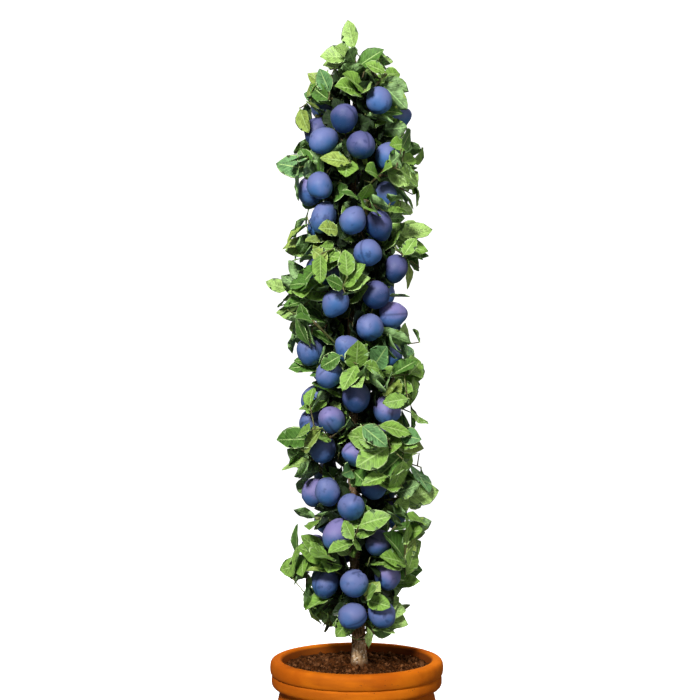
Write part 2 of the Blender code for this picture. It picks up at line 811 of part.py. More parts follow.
def main():
    for obj in list(bpy.data.objects):
        bpy.data.objects.remove(obj)
    plant = bpy.data.collections.new("potted_columnar_plum_tree")
    guides = bpy.data.collections.new("guides")
    for collection in (plant, guides):
        bpy.context.scene.collection.children.link(collection)
    make_pot(plant)
    make_soil(plant)
    make_trunk(plant)
    section = twig_section(guides)
    foliage = finish_material("foliage", (0.16, 0.24, 0.05), 0.55)
    for index in range(SPURS):
        make_spray(index, f"spray_{index + 1:02d}", section, plant, foliage)
    make_spray(SPURS, "top_tuft", section, plant, foliage)
    bpy.data.objects.remove(section)


main()
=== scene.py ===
# %% [markdown]
# # A columnar plum tree in a clay pot
#
# The real object is a slim fruit tree trained as one upright trunk. It has no long boughs, only
# short spurs that carry leaves and dark blue plums from the soil to the tip. It stands in a
# bellied clay pot with a rolled rim. Everything here is in metres, with +Z up.
#
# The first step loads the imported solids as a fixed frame, which the new pieces have to fit.

# %% The frame
import math
import random

import bpy
import numpy as np
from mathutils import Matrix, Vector
from mathutils.bvhtree import BVHTree


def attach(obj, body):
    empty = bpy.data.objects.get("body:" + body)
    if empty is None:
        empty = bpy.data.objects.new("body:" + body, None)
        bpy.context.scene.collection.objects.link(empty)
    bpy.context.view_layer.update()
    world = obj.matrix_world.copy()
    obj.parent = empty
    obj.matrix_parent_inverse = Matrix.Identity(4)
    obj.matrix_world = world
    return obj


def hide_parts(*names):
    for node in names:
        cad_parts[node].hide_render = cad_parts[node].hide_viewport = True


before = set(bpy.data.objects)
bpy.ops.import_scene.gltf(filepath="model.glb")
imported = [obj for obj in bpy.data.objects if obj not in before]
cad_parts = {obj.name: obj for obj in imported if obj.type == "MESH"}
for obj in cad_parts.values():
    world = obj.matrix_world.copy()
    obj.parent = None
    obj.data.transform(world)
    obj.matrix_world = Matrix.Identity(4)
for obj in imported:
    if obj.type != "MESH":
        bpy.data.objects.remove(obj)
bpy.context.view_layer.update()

# %% [markdown]
# ## The camera
#
# The photograph is a level product view from the front. The rim of the pot is seen from a little
# above, because the camera stands at the height of the middle of the picture. A long lens far
# away would flatten the rim to a line, so the distance follows from how open the rim looks.

# %% The camera
PICTURE = 700
METRES_PER_PIXEL = 0.001734
AXIS_PIXEL_X = 356.7
RIM_PIXEL_Y = 664.6
RIM_MIDDLE_Z = 0.25
CAMERA_DISTANCE = 2.65
SENSOR = 36.0


def put_in_scene(name, data):
    """A new object that shows some data"""
    piece = bpy.data.objects.new(name, data)
    bpy.context.scene.collection.objects.link(piece)
    return piece


camera = put_in_scene("photo_camera", bpy.data.cameras.new("photo_camera"))
camera.data.sensor_width = SENSOR
camera.data.lens = SENSOR * CAMERA_DISTANCE / (PICTURE * METRES_PER_PIXEL)
camera.location = ((PICTURE / 2 - AXIS_PIXEL_X) * METRES_PER_PIXEL, -CAMERA_DISTANCE,
                   RIM_MIDDLE_Z + (RIM_PIXEL_Y - PICTURE / 2) * METRES_PER_PIXEL)
camera.rotation_euler = (math.pi / 2, 0.0, 0.0)
bpy.context.scene.camera = camera
print("lens", round(camera.data.lens, 1), "mm")

# %% [markdown]
# ## How the tree grows
#
# A real columnar tree sets its spurs round the trunk at about 137.5 degrees from one to the next,
# so no spur grows right above another. Points could be scattered at random, but then sprays would
# run into each other. Here each spur owns the space that is nearest to it on the crown's unrolled
# surface, and its twigs, leaves and plums stay inside that space.
#
# The same rule with the same seed shaped the solids, so the pieces here grow in the same places.

# %% Small helpers
UP = Vector((0.0, 0.0, 1.0))
GAP = 0.0003
SOIL_TOP = 0.2535


def lerp(a, b, t):
    return a + (b - a) * t


def between(a, b, steps):
    """Points in even steps from a to b"""
    return [a.lerp(b, k / steps) for k in range(steps + 1)]


def wrapped(angle):
    return (angle + math.pi) % (2.0 * math.pi) - math.pi


def bearing_vector(angle):
    return Vector((math.cos(angle), math.sin(angle), 0.0))


def random_unit(rng):
    return Vector([rng.gauss(0.0, 1.0) for axis in range(3)]).normalized()


def square_to(direction, wish):
    """The direction nearest to a wish that is square to another direction"""
    return (wish - direction * wish.dot(direction)).normalized()


print("a quarter turn past a half turn wraps to", round(wrapped(math.pi * 1.5), 2))

# %% [markdown]
# The trunk leans and bows a little. Two functions give its middle and its thickness at any
# height, and everything that touches the trunk asks them.

# %% The trunk's line
TRUNK_TOP = 1.262
TRUNK_RADIUS = 0.0125
TRUNK_TIP_RADIUS = 0.003
FLARE = 0.003
FLARE_HEIGHT = 0.012
BASE_X = 0.0045
LEAN = -0.0075
BOW = -0.0088
SWAY = 0.003


def trunk_centre(z):
    first = SOIL_TOP + FLARE_HEIGHT * 0.5
    t = min(max((z - first) / (TRUNK_TOP - first), 0.0), 1.0)
    x = BASE_X + LEAN * t + BOW * math.sin(math.pi * t)
    return Vector((x, SWAY * math.sin(1.7 * math.pi * t), z))


def trunk_radius(z):
    h = max(z - SOIL_TOP, 0.0)
    t = min(h / (TRUNK_TOP - SOIL_TOP), 1.0)
    taper = lerp(TRUNK_TIP_RADIUS, TRUNK_RADIUS, (1.0 - t) ** 0.8)
    return taper + FLARE * math.exp(-h / FLARE_HEIGHT)


def from_trunk(p):
    """A point's distance and bearing from the trunk's middle at its height"""
    centre = trunk_centre(p.z)
    return math.hypot(p.x - centre.x, p.y - centre.y), math.atan2(p.y - centre.y, p.x - centre.x)


print("trunk leans to", trunk_centre(TRUNK_TOP))

# %% [markdown]
# The crown is a column that narrows at both ends. Some sprays stand out of it to the sides, and
# as many like them in front and behind. The reach at a height and bearing is the column's own,
# swelled smoothly round each long spray.

# %% The crown's reach
# Heights, and how far from the pot's axis the leaves go there
CROWN = (
    (0.294, 0.066), (0.312, 0.086), (0.345, 0.099), (0.420, 0.111), (1.120, 0.114),
    (1.250, 0.095), (1.300, 0.070), (1.316, 0.058), (1.325, 0.023), (1.372, 0.022),
)
# Bearing in degrees from +X, height and reach
LONG_SPRAYS = (
    (180, 1.246, 0.093), (180, 1.125, 0.142), (180, 0.970, 0.130), (180, 0.917, 0.157),
    (180, 0.865, 0.138), (180, 0.770, 0.118), (180, 0.639, 0.140), (180, 0.587, 0.131),
    (180, 0.414, 0.137), (0, 1.004, 0.132), (0, 0.961, 0.125), (0, 0.761, 0.120),
    (0, 0.553, 0.146), (0, 0.500, 0.130), (0, 0.414, 0.115), (0, 0.327, 0.087),
)
HIDDEN_LONG_SPRAYS = 16
HIDDEN_TURN = 0.9
HIDDEN_HEIGHTS = (0.40, 1.14)
HIDDEN_REACH = (0.118, 0.140)
SPRAY_HEIGHT = 0.022
SPRAY_TURN = 0.45
SEED = 28


def long_sprays():
    rng = random.Random(SEED)
    places = [(math.radians(turn), height, reach) for turn, height, reach in LONG_SPRAYS]
    for k in range(HIDDEN_LONG_SPRAYS):
        turn = math.copysign(math.pi / 2, 0.5 - k % 2) + rng.uniform(-HIDDEN_TURN, HIDDEN_TURN)
        height = lerp(*HIDDEN_HEIGHTS, (k + rng.random()) / HIDDEN_LONG_SPRAYS)
        places.append((turn, height, rng.uniform(*HIDDEN_REACH)))
    return places


LONG_PLACES = long_sprays()


def crown_reach(p):
    """How far from the pot's axis a leaf may go at the height and bearing of p"""
    if not CROWN[0][0] < p.z < CROWN[-1][0]:
        return 0.0
    for (low, r_low), (high, r_high) in zip(CROWN, CROWN[1:]):
        if p.z <= high:
            reach = lerp(r_low, r_high, (p.z - low) / (high - low))
            break
    best = reach
    for turn, height, far in LONG_PLACES:
        up = (p.z - height) / SPRAY_HEIGHT
        across = wrapped(math.atan2(p.y, p.x) - turn) / SPRAY_TURN
        best = max(best, lerp(reach, far, math.exp(-0.5 * (up * up + across * across))))
    return best


print("long sprays", len(LONG_PLACES))

# %% [markdown]
# A spur's space is what lies nearer to it than to any other spur, measured up the trunk and
# round it. The tuft has what lies above a shallow cone at the trunk's tip.

# %% The space of each spur
SPURS = 30
FIRST_SPUR = 0.335
SPUR_PITCH = 0.0307
GOLDEN_ANGLE = math.radians(137.5)
FIRST_TURN = math.radians(-80.0)
RISE = 0.35
CELL_RADIUS = 0.080
NEIGHBOURS = 8
TUFT_SLOPE = 0.35


def spur_place(i):
    return FIRST_SPUR + i * SPUR_PITCH, FIRST_TURN + i * GOLDEN_ANGLE


def spur_distance(turn, level, i):
    height, spur_turn = spur_place(i)
    return math.hypot(CELL_RADIUS * wrapped(turn - spur_turn), level - height)


def room(p, i):
    """How far p is inside the space of spur i, or of the tuft when i is SPURS"""
    rho, turn = from_trunk(p)
    above = (p.z - TRUNK_TOP - TUFT_SLOPE * rho) / math.hypot(1.0, TUFT_SLOPE)
    if i == SPURS:
        return above
    level = p.z - RISE * rho
    own = spur_distance(turn, level, i)
    nearest = -above
    for j in range(max(0, i - NEIGHBOURS), min(SPURS, i + NEIGHBOURS + 1)):
        if j != i:
            nearest = min(nearest, (spur_distance(turn, level, j) - own) / 2)
    return nearest


def owner(p):
    return max(range(SPURS + 1), key=lambda i: room(p, i))


print("the spur in the middle owns", owner(trunk_centre(0.8) + bearing_vector(0.0) * 0.05))

# %% [markdown]
# A leaf is first only a place: a root, a direction, a length and the way its upper side faces.
# Points on it are tested against the crown, and two triangles stand for it where it is tested
# against what grows beside it.

# %% A leaf's place
LEAF_LENGTH = (0.042, 0.077)
LEAF_WIDTH = 0.64
LEAF_SPACING = 0.0008
LEAF_MARKS = [(along, 0.0) for along in (0.3, 0.5, 0.75, 1.0)]
LEAF_MARKS += [(0.3, 0.6), (0.3, -0.6), (0.5, 1.0), (0.5, -1.0), (0.75, 0.5), (0.75, -0.5)]


class Leaf:
    def __init__(self, base, direction, length, normal, margin=0.0):
        self.base, self.direction, self.length = base, direction, length
        self.normal, self.margin = normal, margin
        self.across = normal.cross(direction) * length * LEAF_WIDTH / 2
        self.tip = self.at(1.0, 0.0)
        self.points = [self.at(*mark) for mark in LEAF_MARKS]
        corners = [base, self.at(0.5, 1.0), self.tip, self.at(0.5, -1.0)]
        self.shell = BVHTree.FromPolygons(corners, ((0, 1, 2), (0, 2, 3)), epsilon=LEAF_SPACING)

    def at(self, along, wide):
        return self.base + self.direction * self.length * along + self.across * wide

    def near(self, p, distance):
        return self.shell.find_nearest(p, distance)[0] is not None


print("leaves", LEAF_LENGTH, "m long")

# %% [markdown]
# A spray grows in the order of a real spur: the short stem, the leaves that reach furthest, the
# plums where there is room for them, twigs between the plums, and leaves along the twigs.
# Whatever would leave the space or touch something is skipped. The tuft's stem goes on from the
# trunk's tip.

# %% A spray and its stem
STEM_RADIUS = 0.0033
STEM_LENGTH = (0.032, 0.040)
STEM_KNEE = 0.007
STEM_SWAY = 0.004
TUFT_STEM = 0.034
KNOB_RADIUS = 0.0030
END_KNOB = KNOB_RADIUS * 0.8
LEAF_STEP = 0.008
LEAF_TRIES = 60
TUFT_TRIES = 240
LEAF_ROLL = (0.3, 1.1)
TUFT_ROLL = (0.9, 2.2)


class Spray:
    """One spur's twigs, stalks, leaves and plums, as centre lines and places"""

    def __init__(self, index):
        self.index = index
        self.rng = random.Random(SEED * 1000 + index)
        self.twigs, self.stalks, self.leaves, self.plums, self.shade = [], [], [], [], []
        self.leaf_step, self.leaf_tries, self.leaf_roll = LEAF_STEP, LEAF_TRIES, LEAF_ROLL

    def place(self, turn, rho, level):
        """The point at a bearing and distance from the trunk, and a level over the spur's line"""
        z = self.height + RISE * rho + level
        return trunk_centre(z) + bearing_vector(turn) * rho


def set_spur(spray):
    spray.height, spray.turn = spur_place(spray.index)
    spray.out = bearing_vector(spray.turn)
    axis = trunk_centre(spray.height)
    start = trunk_radius(spray.height) + GAP
    end = min(spray.rng.uniform(*STEM_LENGTH), crown_reach(axis) * 0.5)
    side = Vector((-spray.out.y, spray.out.x, 0.0)) * spray.rng.uniform(-STEM_SWAY, STEM_SWAY)
    spray.stem = [axis + spray.out * start, axis + spray.out * (start + STEM_KNEE),
                  axis + spray.out * end + UP * RISE * end + side]
    spray.twigs.append((spray.stem, [STEM_RADIUS, STEM_RADIUS, END_KNOB]))


def set_tuft_stem(spray):
    foot = trunk_centre(TRUNK_TOP) + UP * GAP
    spray.height, spray.turn, spray.out = foot.z, 0.0, UP
    spray.stem = [foot, foot + UP * STEM_KNEE, foot + UP * TUFT_STEM]
    spray.twigs.append((spray.stem, [TRUNK_TIP_RADIUS, TRUNK_TIP_RADIUS, KNOB_RADIUS]))
    spray.leaf_step, spray.leaf_tries, spray.leaf_roll = LEAF_STEP / 2, TUFT_TRIES, TUFT_ROLL


print("stems", STEM_LENGTH, "m long")

# %% A twig and what it keeps clear of
PLUM_RADIUS = 0.0235
LEAF_TO_PLUM = 0.003
TWIG_RADIUS = 0.0017
TWIG_SHORTEST = 0.012
TWIG_ROOM = 0.004
FIRST_FORK, NEXT_FORK = 0.1, 0.25
SEAT_RADIUS = 0.006


def clear_of_plums(spray, p, distance):
    return all((p - c).length > PLUM_RADIUS + distance for c, axis in spray.plums)


def twig_is_clear(spray, start, node, seat):
    for p in between(start, node, 5)[1:]:
        if not clear_of_plums(spray, p, LEAF_TO_PLUM) or room(p, spray.index) < TWIG_ROOM:
            return False
        if (p - seat).length < SEAT_RADIUS:
            continue
        if any(leaf.near(p, KNOB_RADIUS) for leaf in spray.leaves):
            return False
    return True


def add_twig(spray, node, seat=None):
    """A twig from the stem to a node, each one a step further back"""
    back = FIRST_FORK + NEXT_FORK * (len(spray.twigs) - 1)
    start = spray.stem[-1].lerp(spray.stem[-2], back)
    if (node - start).length < TWIG_SHORTEST or not twig_is_clear(spray, start, node, seat or node):
        return False
    spray.twigs.append(([start, node], [TWIG_RADIUS, KNOB_RADIUS]))
    return True


print("twigs fork off", FIRST_FORK, "of the way back along the stem and further")

# %% A leaf and what it keeps clear of
BARE_FOOT = 0.320
BARE_RADIUS = 0.036
LEAF_TO_TRUNK = 0.006
LEAF_TO_WOOD = 0.0028
WOOD_STEP = 0.004
PLUM_SHOWN = 0.5
PLUM_SHOWN_IN_FRONT = 0.4
FACING_SHARE = 0.8
FACE_UP, FACE_OUT = 0.5, 0.4


def runs(lines):
    """The straight runs of some centre lines"""
    for points, radii in lines:
        yield from zip(points, points[1:])


def wood_points(spray):
    for a, b in runs(spray.twigs + spray.stalks):
        yield from between(a, b, max(2, int((b - a).length / WOOD_STEP)))


def hides_a_plum(spray, leaf):
    """The leaf lies over the middle of a plum, seen from outside or from the front"""
    for c, axis in spray.plums:
        sight = Vector((c.x, c.y, 0.0)).normalized()
        for p in leaf.points:
            away = p - c
            beside = (away - sight * away.dot(sight)).length
            if away.dot(sight) > 0.0 and beside < PLUM_RADIUS * PLUM_SHOWN:
                return True
            in_front = max(c.y, away.y) < 0.0
            if in_front and math.hypot(away.x, away.z) < PLUM_RADIUS * PLUM_SHOWN_IN_FRONT:
                return True
    return False


def leaf_clears(spray, leaf, seat):
    """The leaf keeps to this spray's space and crosses no twig, plum or other leaf"""
    for p in leaf.points:
        if room(p, spray.index) < leaf.margin or math.hypot(p.x, p.y) > crown_reach(p):
            return False
        clear = BARE_RADIUS if p.z < BARE_FOOT else trunk_radius(p.z) + LEAF_TO_TRUNK
        if from_trunk(p)[0] < clear:
            return False
    if any(leaf.near(c, PLUM_RADIUS + LEAF_TO_PLUM) for c, axis in spray.plums):
        return False
    if any(leaf.shell.overlap(other.shell) for other in spray.leaves):
        return False
    for q in wood_points(spray):
        if (q - seat).length > SEAT_RADIUS and leaf.near(q, LEAF_TO_WOOD):
            return False
    return not hides_a_plum(spray, leaf)


def leaf_normal(spray, direction):
    """Upper sides face up and outward, and roll about the leaf, mostly to the bright side"""
    flat = Vector((direction.x, direction.y, 0.0)).normalized()
    around = Vector((-flat.y, flat.x, 0.0))
    if (around.y > 0.0) == (spray.rng.random() < FACING_SHARE):
        around = -around
    wish = UP * FACE_UP + spray.out * FACE_OUT + around * spray.rng.uniform(*spray.leaf_roll)
    return square_to(direction, wish)


print("leaves stay", LEAF_TO_TRUNK, "m off the trunk")

# %% The leaves that reach furthest
LONG_SPRAY_TRIES = 700
LONG_SPREAD = 0.45
LONG_TIP_INSET = 0.0005
LEAF_MARGIN = 0.0015
LEAF_ROOT = 0.003


def add_long_sprays(spray):
    """A leaf whose tip is the furthest point of a long spray in this space, and its twig"""
    for turn, height, far in LONG_PLACES:
        tip = bearing_vector(turn) * (far - LONG_TIP_INSET) + UP * height
        if owner(tip) != spray.index:
            continue
        for attempt in range(LONG_SPRAY_TRIES):
            wish = bearing_vector(turn) + random_unit(spray.rng) * LONG_SPREAD
            direction = wish.normalized()
            length = spray.rng.uniform(*LEAF_LENGTH)
            base = tip - direction * length
            if room(base, spray.index) < SEAT_RADIUS:
                continue
            leaf = Leaf(base, direction, length, leaf_normal(spray, direction), LEAF_MARGIN * 0.7)
            if not leaf_clears(spray, leaf, base):
                continue
            spray.leaves.append(leaf)
            if add_twig(spray, base + direction * LEAF_ROOT, base):
                break
            spray.leaves.pop()


print("long sprays are tried", LONG_SPRAY_TRIES, "times")

# %% [markdown]
# A plum is placed where a ball of its size has room, and hangs by a short stalk from wood that
# is near and rather above than below. Several layouts are tried, and the fullest one stays.

# %% Plums on a spray
PLUMS = (3, 3, 4)
PLUM_REACH = 0.076
PLUM_LEEWAY = 0.004
PLUM_RISE = 0.02
PLUM_TURN = 0.9
PLUM_LEVEL = 0.045
PLUM_TOP = 1.250
PLUM_LAYOUTS = 12
PLUM_TRIES = 110
PLUM_GAP = 0.0015
TWIG_TO_PLUM = 0.004
STALK_RADIUS = 0.0012
STALK_SUNK = 0.82
STALK_FROM_ABOVE = 0.6
PLUM_UPRIGHT, PLUM_TILT = 0.5, 0.2
BALL = [bearing_vector(k * math.pi / 4) * math.cos(tilt) + UP * math.sin(tilt)
        for tilt in (-math.pi / 2, -math.pi / 4, 0.0, math.pi / 4, math.pi / 2) for k in range(8)]


def twig_points(spray):
    return [p for a, b in runs(spray.twigs) for p in between(a, b, 6)]


def plum_fits(spray, c, others):
    if not BARE_FOOT < c.z - PLUM_RADIUS < c.z + PLUM_RADIUS < PLUM_TOP:
        return False
    if any(room(c + way * (PLUM_RADIUS + PLUM_GAP), spray.index) < PLUM_GAP / 2 for way in BALL):
        return False
    if any((c - other).length < 2 * PLUM_RADIUS + PLUM_GAP for other in others):
        return False
    if any(leaf.near(c, PLUM_RADIUS + LEAF_TO_PLUM) for leaf in spray.leaves):
        return False
    return min((p - c).length for p in twig_points(spray)) > PLUM_RADIUS + TWIG_TO_PLUM


def lay_plums(spray, want):
    """One try at a layout, as the plums' centres"""
    reach = crown_reach(trunk_centre(spray.height + PLUM_RISE))
    near = trunk_radius(spray.height) + PLUM_RADIUS + LEAF_TO_TRUNK
    far = max(near + PLUM_LEEWAY, min(PLUM_REACH, reach - PLUM_RADIUS))
    centres = []
    for attempt in range(PLUM_TRIES):
        turn = spray.turn + spray.rng.uniform(-PLUM_TURN, PLUM_TURN)
        rho = lerp(near, far, spray.rng.random())
        c = spray.place(turn, rho, spray.rng.uniform(-PLUM_LEVEL, PLUM_LEVEL))
        if len(centres) < want and plum_fits(spray, c, centres):
            centres.append(c)
    return centres


def add_plums(spray):
    want = 1 if spray.index == SPURS - 1 else PLUMS[spray.rng.randrange(len(PLUMS))]
    best = []
    for layout in range(PLUM_LAYOUTS):
        if len(best) < want:
            best = max(best, lay_plums(spray, want), key=len)
    for c in best:
        start = min(twig_points(spray),
                    key=lambda p: (p - c).length - max(0.0, p.z - c.z) * STALK_FROM_ABOVE)
        upward = (start - c).normalized()
        axis = (upward + UP * PLUM_UPRIGHT + random_unit(spray.rng) * PLUM_TILT).normalized()
        spray.plums.append((c, axis))
        crown = c + upward * PLUM_RADIUS * STALK_SUNK
        spray.stalks.append(([start, crown], [STALK_RADIUS * 1.3, STALK_RADIUS]))


print("plums on a spray", PLUMS)

# %% Twigs between the plums
TWIGS = 3
TWIG_TRIES = 60
TWIG_REACH = (0.045, 0.078)
TWIG_SPREAD = (0.2, 0.6)
TWIG_TURN = 0.2
TWIG_LEVEL = 0.01
TWIG_SHARE = 0.75
NODE_ROOM = 0.007


def twig_node(spray, phase):
    """A place for a twig's end, to the side that the phase points to"""
    rng = spray.rng
    spread = rng.uniform(*TWIG_SPREAD)
    turn = spray.turn + math.cos(phase) * spread + rng.uniform(-TWIG_TURN, TWIG_TURN)
    level = math.sin(phase) * CELL_RADIUS * spread + rng.uniform(-TWIG_LEVEL, TWIG_LEVEL)
    reach = crown_reach(trunk_centre(spray.height + level)) * TWIG_SHARE
    return spray.place(turn, min(rng.uniform(*TWIG_REACH), reach), level)


def add_twigs(spray):
    for k in range(TWIGS):
        if len(spray.twigs) > TWIGS:
            break
        for attempt in range(TWIG_TRIES):
            node = twig_node(spray, (k + 0.5) * math.tau / TWIGS)
            fits = room(node, spray.index) > NODE_ROOM and clear_of_plums(spray, node, TWIG_TO_PLUM)
            if fits and add_twig(spray, node):
                break


print("twigs on a spray", TWIGS)

# %% Leaves along the twigs
LEAVES = 11
LEAF_CHOICES = 3
END_LEAN = (0.0, 0.35)
SIDE_LEAN = (0.6, 1.5)


def leaf_seats(spray):
    """Where leaves may sit: near each twig's end and at steps back from it"""
    seats = []
    for points, radii in spray.twigs:
        k = 0
        for b, a in zip(points[:0:-1], points[-2::-1]):
            along = (b - a).normalized()
            back = LEAF_ROOT
            while back < (b - a).length:
                seats.append((b - along * back, along, k))
                back += spray.leaf_step
                k += 1
    return [seat for seat in seats if seat[2] == 0 or room(seat[0], spray.index) > TWIG_ROOM]


def leaning(along, lean, turn):
    """The direction that leans off a twig's own by an angle, turned round it"""
    u = along.orthogonal().normalized()
    v = along.cross(u)
    return along * math.cos(lean) + (u * math.cos(turn) + v * math.sin(turn)) * math.sin(lean)


def add_leaves(spray):
    """Leaves alternate round each twig, and of those that fit the furthest reaching stays"""
    rng = spray.rng
    seats = leaf_seats(spray)
    rng.shuffle(seats)
    for seat, along, k in sorted(seats, key=lambda item: item[2]):
        if len(spray.leaves) >= LEAVES:
            return
        start = rng.uniform(0.0, math.tau)
        fits = []
        for attempt in range(spray.leaf_tries):
            lean = rng.uniform(*(END_LEAN if k == 0 else SIDE_LEAN))
            direction = leaning(along, lean, start + attempt * GOLDEN_ANGLE)
            longest = 1.0 - attempt / spray.leaf_tries
            length = lerp(*LEAF_LENGTH, rng.random() ** 0.5 * longest)
            leaf = Leaf(seat, direction, length, leaf_normal(spray, direction), LEAF_MARGIN)
            if leaf_clears(spray, leaf, seat):
                fits.append(leaf)
            if len(fits) == LEAF_CHOICES:
                break
        if fits:
            spray.leaves.append(max(fits, key=lambda leaf: math.hypot(leaf.tip.x, leaf.tip.y)))


print("leaves on a coarse spray", LEAVES)

# %% Growing the coarse sprays
CROWN_TOP = 1.368
TOP_SHOOT = 0.021
TOP_SHOOT_X = -0.004
TOP_LEAF_WAY = (-0.24, 0.02, 1.0)
TOP_LEAF_FACE = (-0.7, -1.0, 0.0)


def add_top_shoot(spray):
    """The single leaf at the very top, on a thin upright shoot"""
    node = Vector((TOP_SHOOT_X, 0.0, spray.stem[-1].z + TOP_SHOOT))
    spray.twigs.append(([spray.stem[-1], node], [TWIG_RADIUS, END_KNOB]))
    direction = Vector(TOP_LEAF_WAY).normalized()
    base = node - direction * LEAF_ROOT
    length = (CROWN_TOP - base.z) / direction.z
    normal = square_to(direction, Vector(TOP_LEAF_FACE))
    spray.leaves.append(Leaf(base, direction, length, normal))


SPUR_STEPS = (set_spur, add_long_sprays, add_plums, add_twigs, add_leaves)
TUFT_STEPS = (set_tuft_stem, add_top_shoot, add_leaves)
sprays = [Spray(index) for index in range(SPURS + 1)]
for spray in sprays:
    for step in TUFT_STEPS if spray.index == SPURS else SPUR_STEPS:
        step(spray)
print("coarse leaves", sum(len(spray.leaves) for spray in sprays))

# %% [markdown]
# ## Finer twigs
#
# The solids carry only as many leaves as a light model can hold. A real spray has twice as
# many. Copies of whole sprays would repeat, and smaller leaves would be the wrong size. The rule
# is carried on instead: the places that still have room get a leaf each, laid along the crown's
# outside as real leaves turn to the light, and a fine twig joins it to the nearest wood. Big
# leaves are tried first, smaller ones fit in between them, and all may lie over a plum's edge.

# %% Leaves in the room that is left
FILL_TRIES = 2600
FILL_LEAVES = 40
FILL_TURN = 1.15
FILL_LEVEL = 0.085
FILL_DEPTH = (0.62, 1.0)
FILL_SHORTENING = (1.2, 0.45)
FILL_OUT, FILL_ANY_WAY = 0.55, 0.9
FILL_FACE_OUT, FILL_FACE_UP, FACE_ANY_WAY = 0.8, 0.55, 0.4
TUFT_FILL_TOP = 1.312
# From here on leaves may lie over a plum's edge and closer to the wood
PLUM_SHOWN = 0.30
PLUM_SHOWN_IN_FRONT = 0.22
LEAF_TO_WOOD = 0.0014


def fill_tip(spray):
    """A place near the outside of the spray's own space"""
    rng = spray.rng
    if spray.index == SPURS:
        turn = rng.uniform(0.0, math.tau)
        z = rng.uniform(TRUNK_TOP, TUFT_FILL_TOP)
    else:
        turn = spray.turn + rng.uniform(-FILL_TURN, FILL_TURN)
        z = spray.place(turn, PLUM_REACH, rng.uniform(-FILL_LEVEL, FILL_LEVEL)).z
    edge = crown_reach(bearing_vector(turn) * 0.1 + UP * z)
    return bearing_vector(turn) * edge * rng.uniform(*FILL_DEPTH) + UP * z


def fill_leaf(spray, progress):
    """A leaf that ends at such a place and lies along the crown's outside, if it has room"""
    rng = spray.rng
    tip = fill_tip(spray)
    if room(tip, spray.index) < LEAF_MARGIN / 2:
        return None
    outward = Vector((tip.x, tip.y, 0.0)).normalized()
    direction = (outward * FILL_OUT + random_unit(rng) * FILL_ANY_WAY).normalized()
    share = rng.uniform(*(1.0 - progress * shortening for shortening in FILL_SHORTENING))
    length = lerp(*LEAF_LENGTH, share)
    base = tip - direction * length
    if room(base, spray.index) < LEAF_MARGIN / 2 or base.z > TUFT_FILL_TOP:
        return None
    facing = outward * FILL_FACE_OUT + UP * FILL_FACE_UP + random_unit(rng) * FACE_ANY_WAY
    leaf = Leaf(base, direction, length, square_to(direction, facing), LEAF_MARGIN / 2)
    return leaf if leaf_clears(spray, leaf, base) else None


print("up to", FILL_LEAVES, "leaves on a fine spray")

# %% [markdown]
# Close to the trunk a real column is filled with older leaves that get little light. Their nearly
# black green is painted shade, and they make the deep shadow between the plums. They may cross each
# other there, where nobody sees it, but not the plums or the trunk.

# %% Leaves in the shade
SHADE_TRIES = 700
SHADE_LEAVES = 40
SHADE_DEPTH = (0.010, 0.052)
SHADE_REACH = 0.080
SHADE_REACH_SHARE = 0.8
SHADE_LEVEL = 0.070
SHADE_LENGTH = (0.028, 0.060)
SHADE_TO_PLUM = 0.001
SHADE_INWARD = 0.2


def stays_inside(spray, leaf):
    for p in leaf.points + [leaf.base]:
        edge = min(crown_reach(p) * SHADE_REACH_SHARE, SHADE_REACH)
        if room(p, spray.index) < 0.0 or p.z < BARE_FOOT:
            return False
        if not trunk_radius(p.z) + GAP < from_trunk(p)[0] < edge:
            return False
    return not any(leaf.near(c, PLUM_RADIUS + SHADE_TO_PLUM) for c, axis in spray.plums)


def shade_leaf(spray, progress):
    """A leaf that starts near the trunk and lies across it, if it has room"""
    rng = spray.rng
    turn = spray.turn + rng.uniform(-FILL_TURN, FILL_TURN)
    base = spray.place(turn, rng.uniform(*SHADE_DEPTH), rng.uniform(-SHADE_LEVEL, SHADE_LEVEL))
    if room(base, spray.index) < 0.0:
        return None
    direction = (random_unit(rng) - spray.out * SHADE_INWARD).normalized()
    normal = square_to(direction, spray.out + random_unit(rng) * FACE_ANY_WAY)
    leaf = Leaf(base, direction, rng.uniform(*SHADE_LENGTH), normal)
    return leaf if stays_inside(spray, leaf) else None


print("up to", SHADE_LEAVES, "leaves in a spray's shade")

# %% Joining the finer leaves to the wood
FINE_TWIG_RADIUS = 0.0010
FINE_TWIG_LONGEST = 0.036


def join_to_wood(spray, leaf):
    """A fine twig from the nearest wood to the leaf's root, if no plum is in its way"""
    root = leaf.base + leaf.direction * LEAF_ROOT
    start = min(twig_points(spray), key=lambda point: (point - root).length)
    length = (root - start).length
    way = between(start, root, 5)[1:]
    clear = all(clear_of_plums(spray, p, FINE_TWIG_RADIUS) for p in way)
    if length > FINE_TWIG_LONGEST or not clear:
        return False
    if length > FINE_TWIG_RADIUS:
        spray.twigs.append(([start, root], [FINE_TWIG_RADIUS * 1.4, FINE_TWIG_RADIUS]))
    return True


def fill(spray, leaves, find_leaf, tries, most):
    """Adds each leaf that is found and joined, up to the most"""
    for attempt in range(tries):
        leaf = find_leaf(spray, attempt / tries)
        if leaf and len(leaves) < most and join_to_wood(spray, leaf):
            leaves.append(leaf)


for spray in sprays:
    fill(spray, spray.leaves, fill_leaf, FILL_TRIES, FILL_LEAVES)
for spray in sprays[:SPURS]:
    fill(spray, spray.shade, shade_leaf, SHADE_TRIES, SHADE_LEAVES)
print("outer leaves", sum(len(spray.leaves) for spray in sprays))
print("shade leaves", sum(len(spray.shade) for spray in sprays))

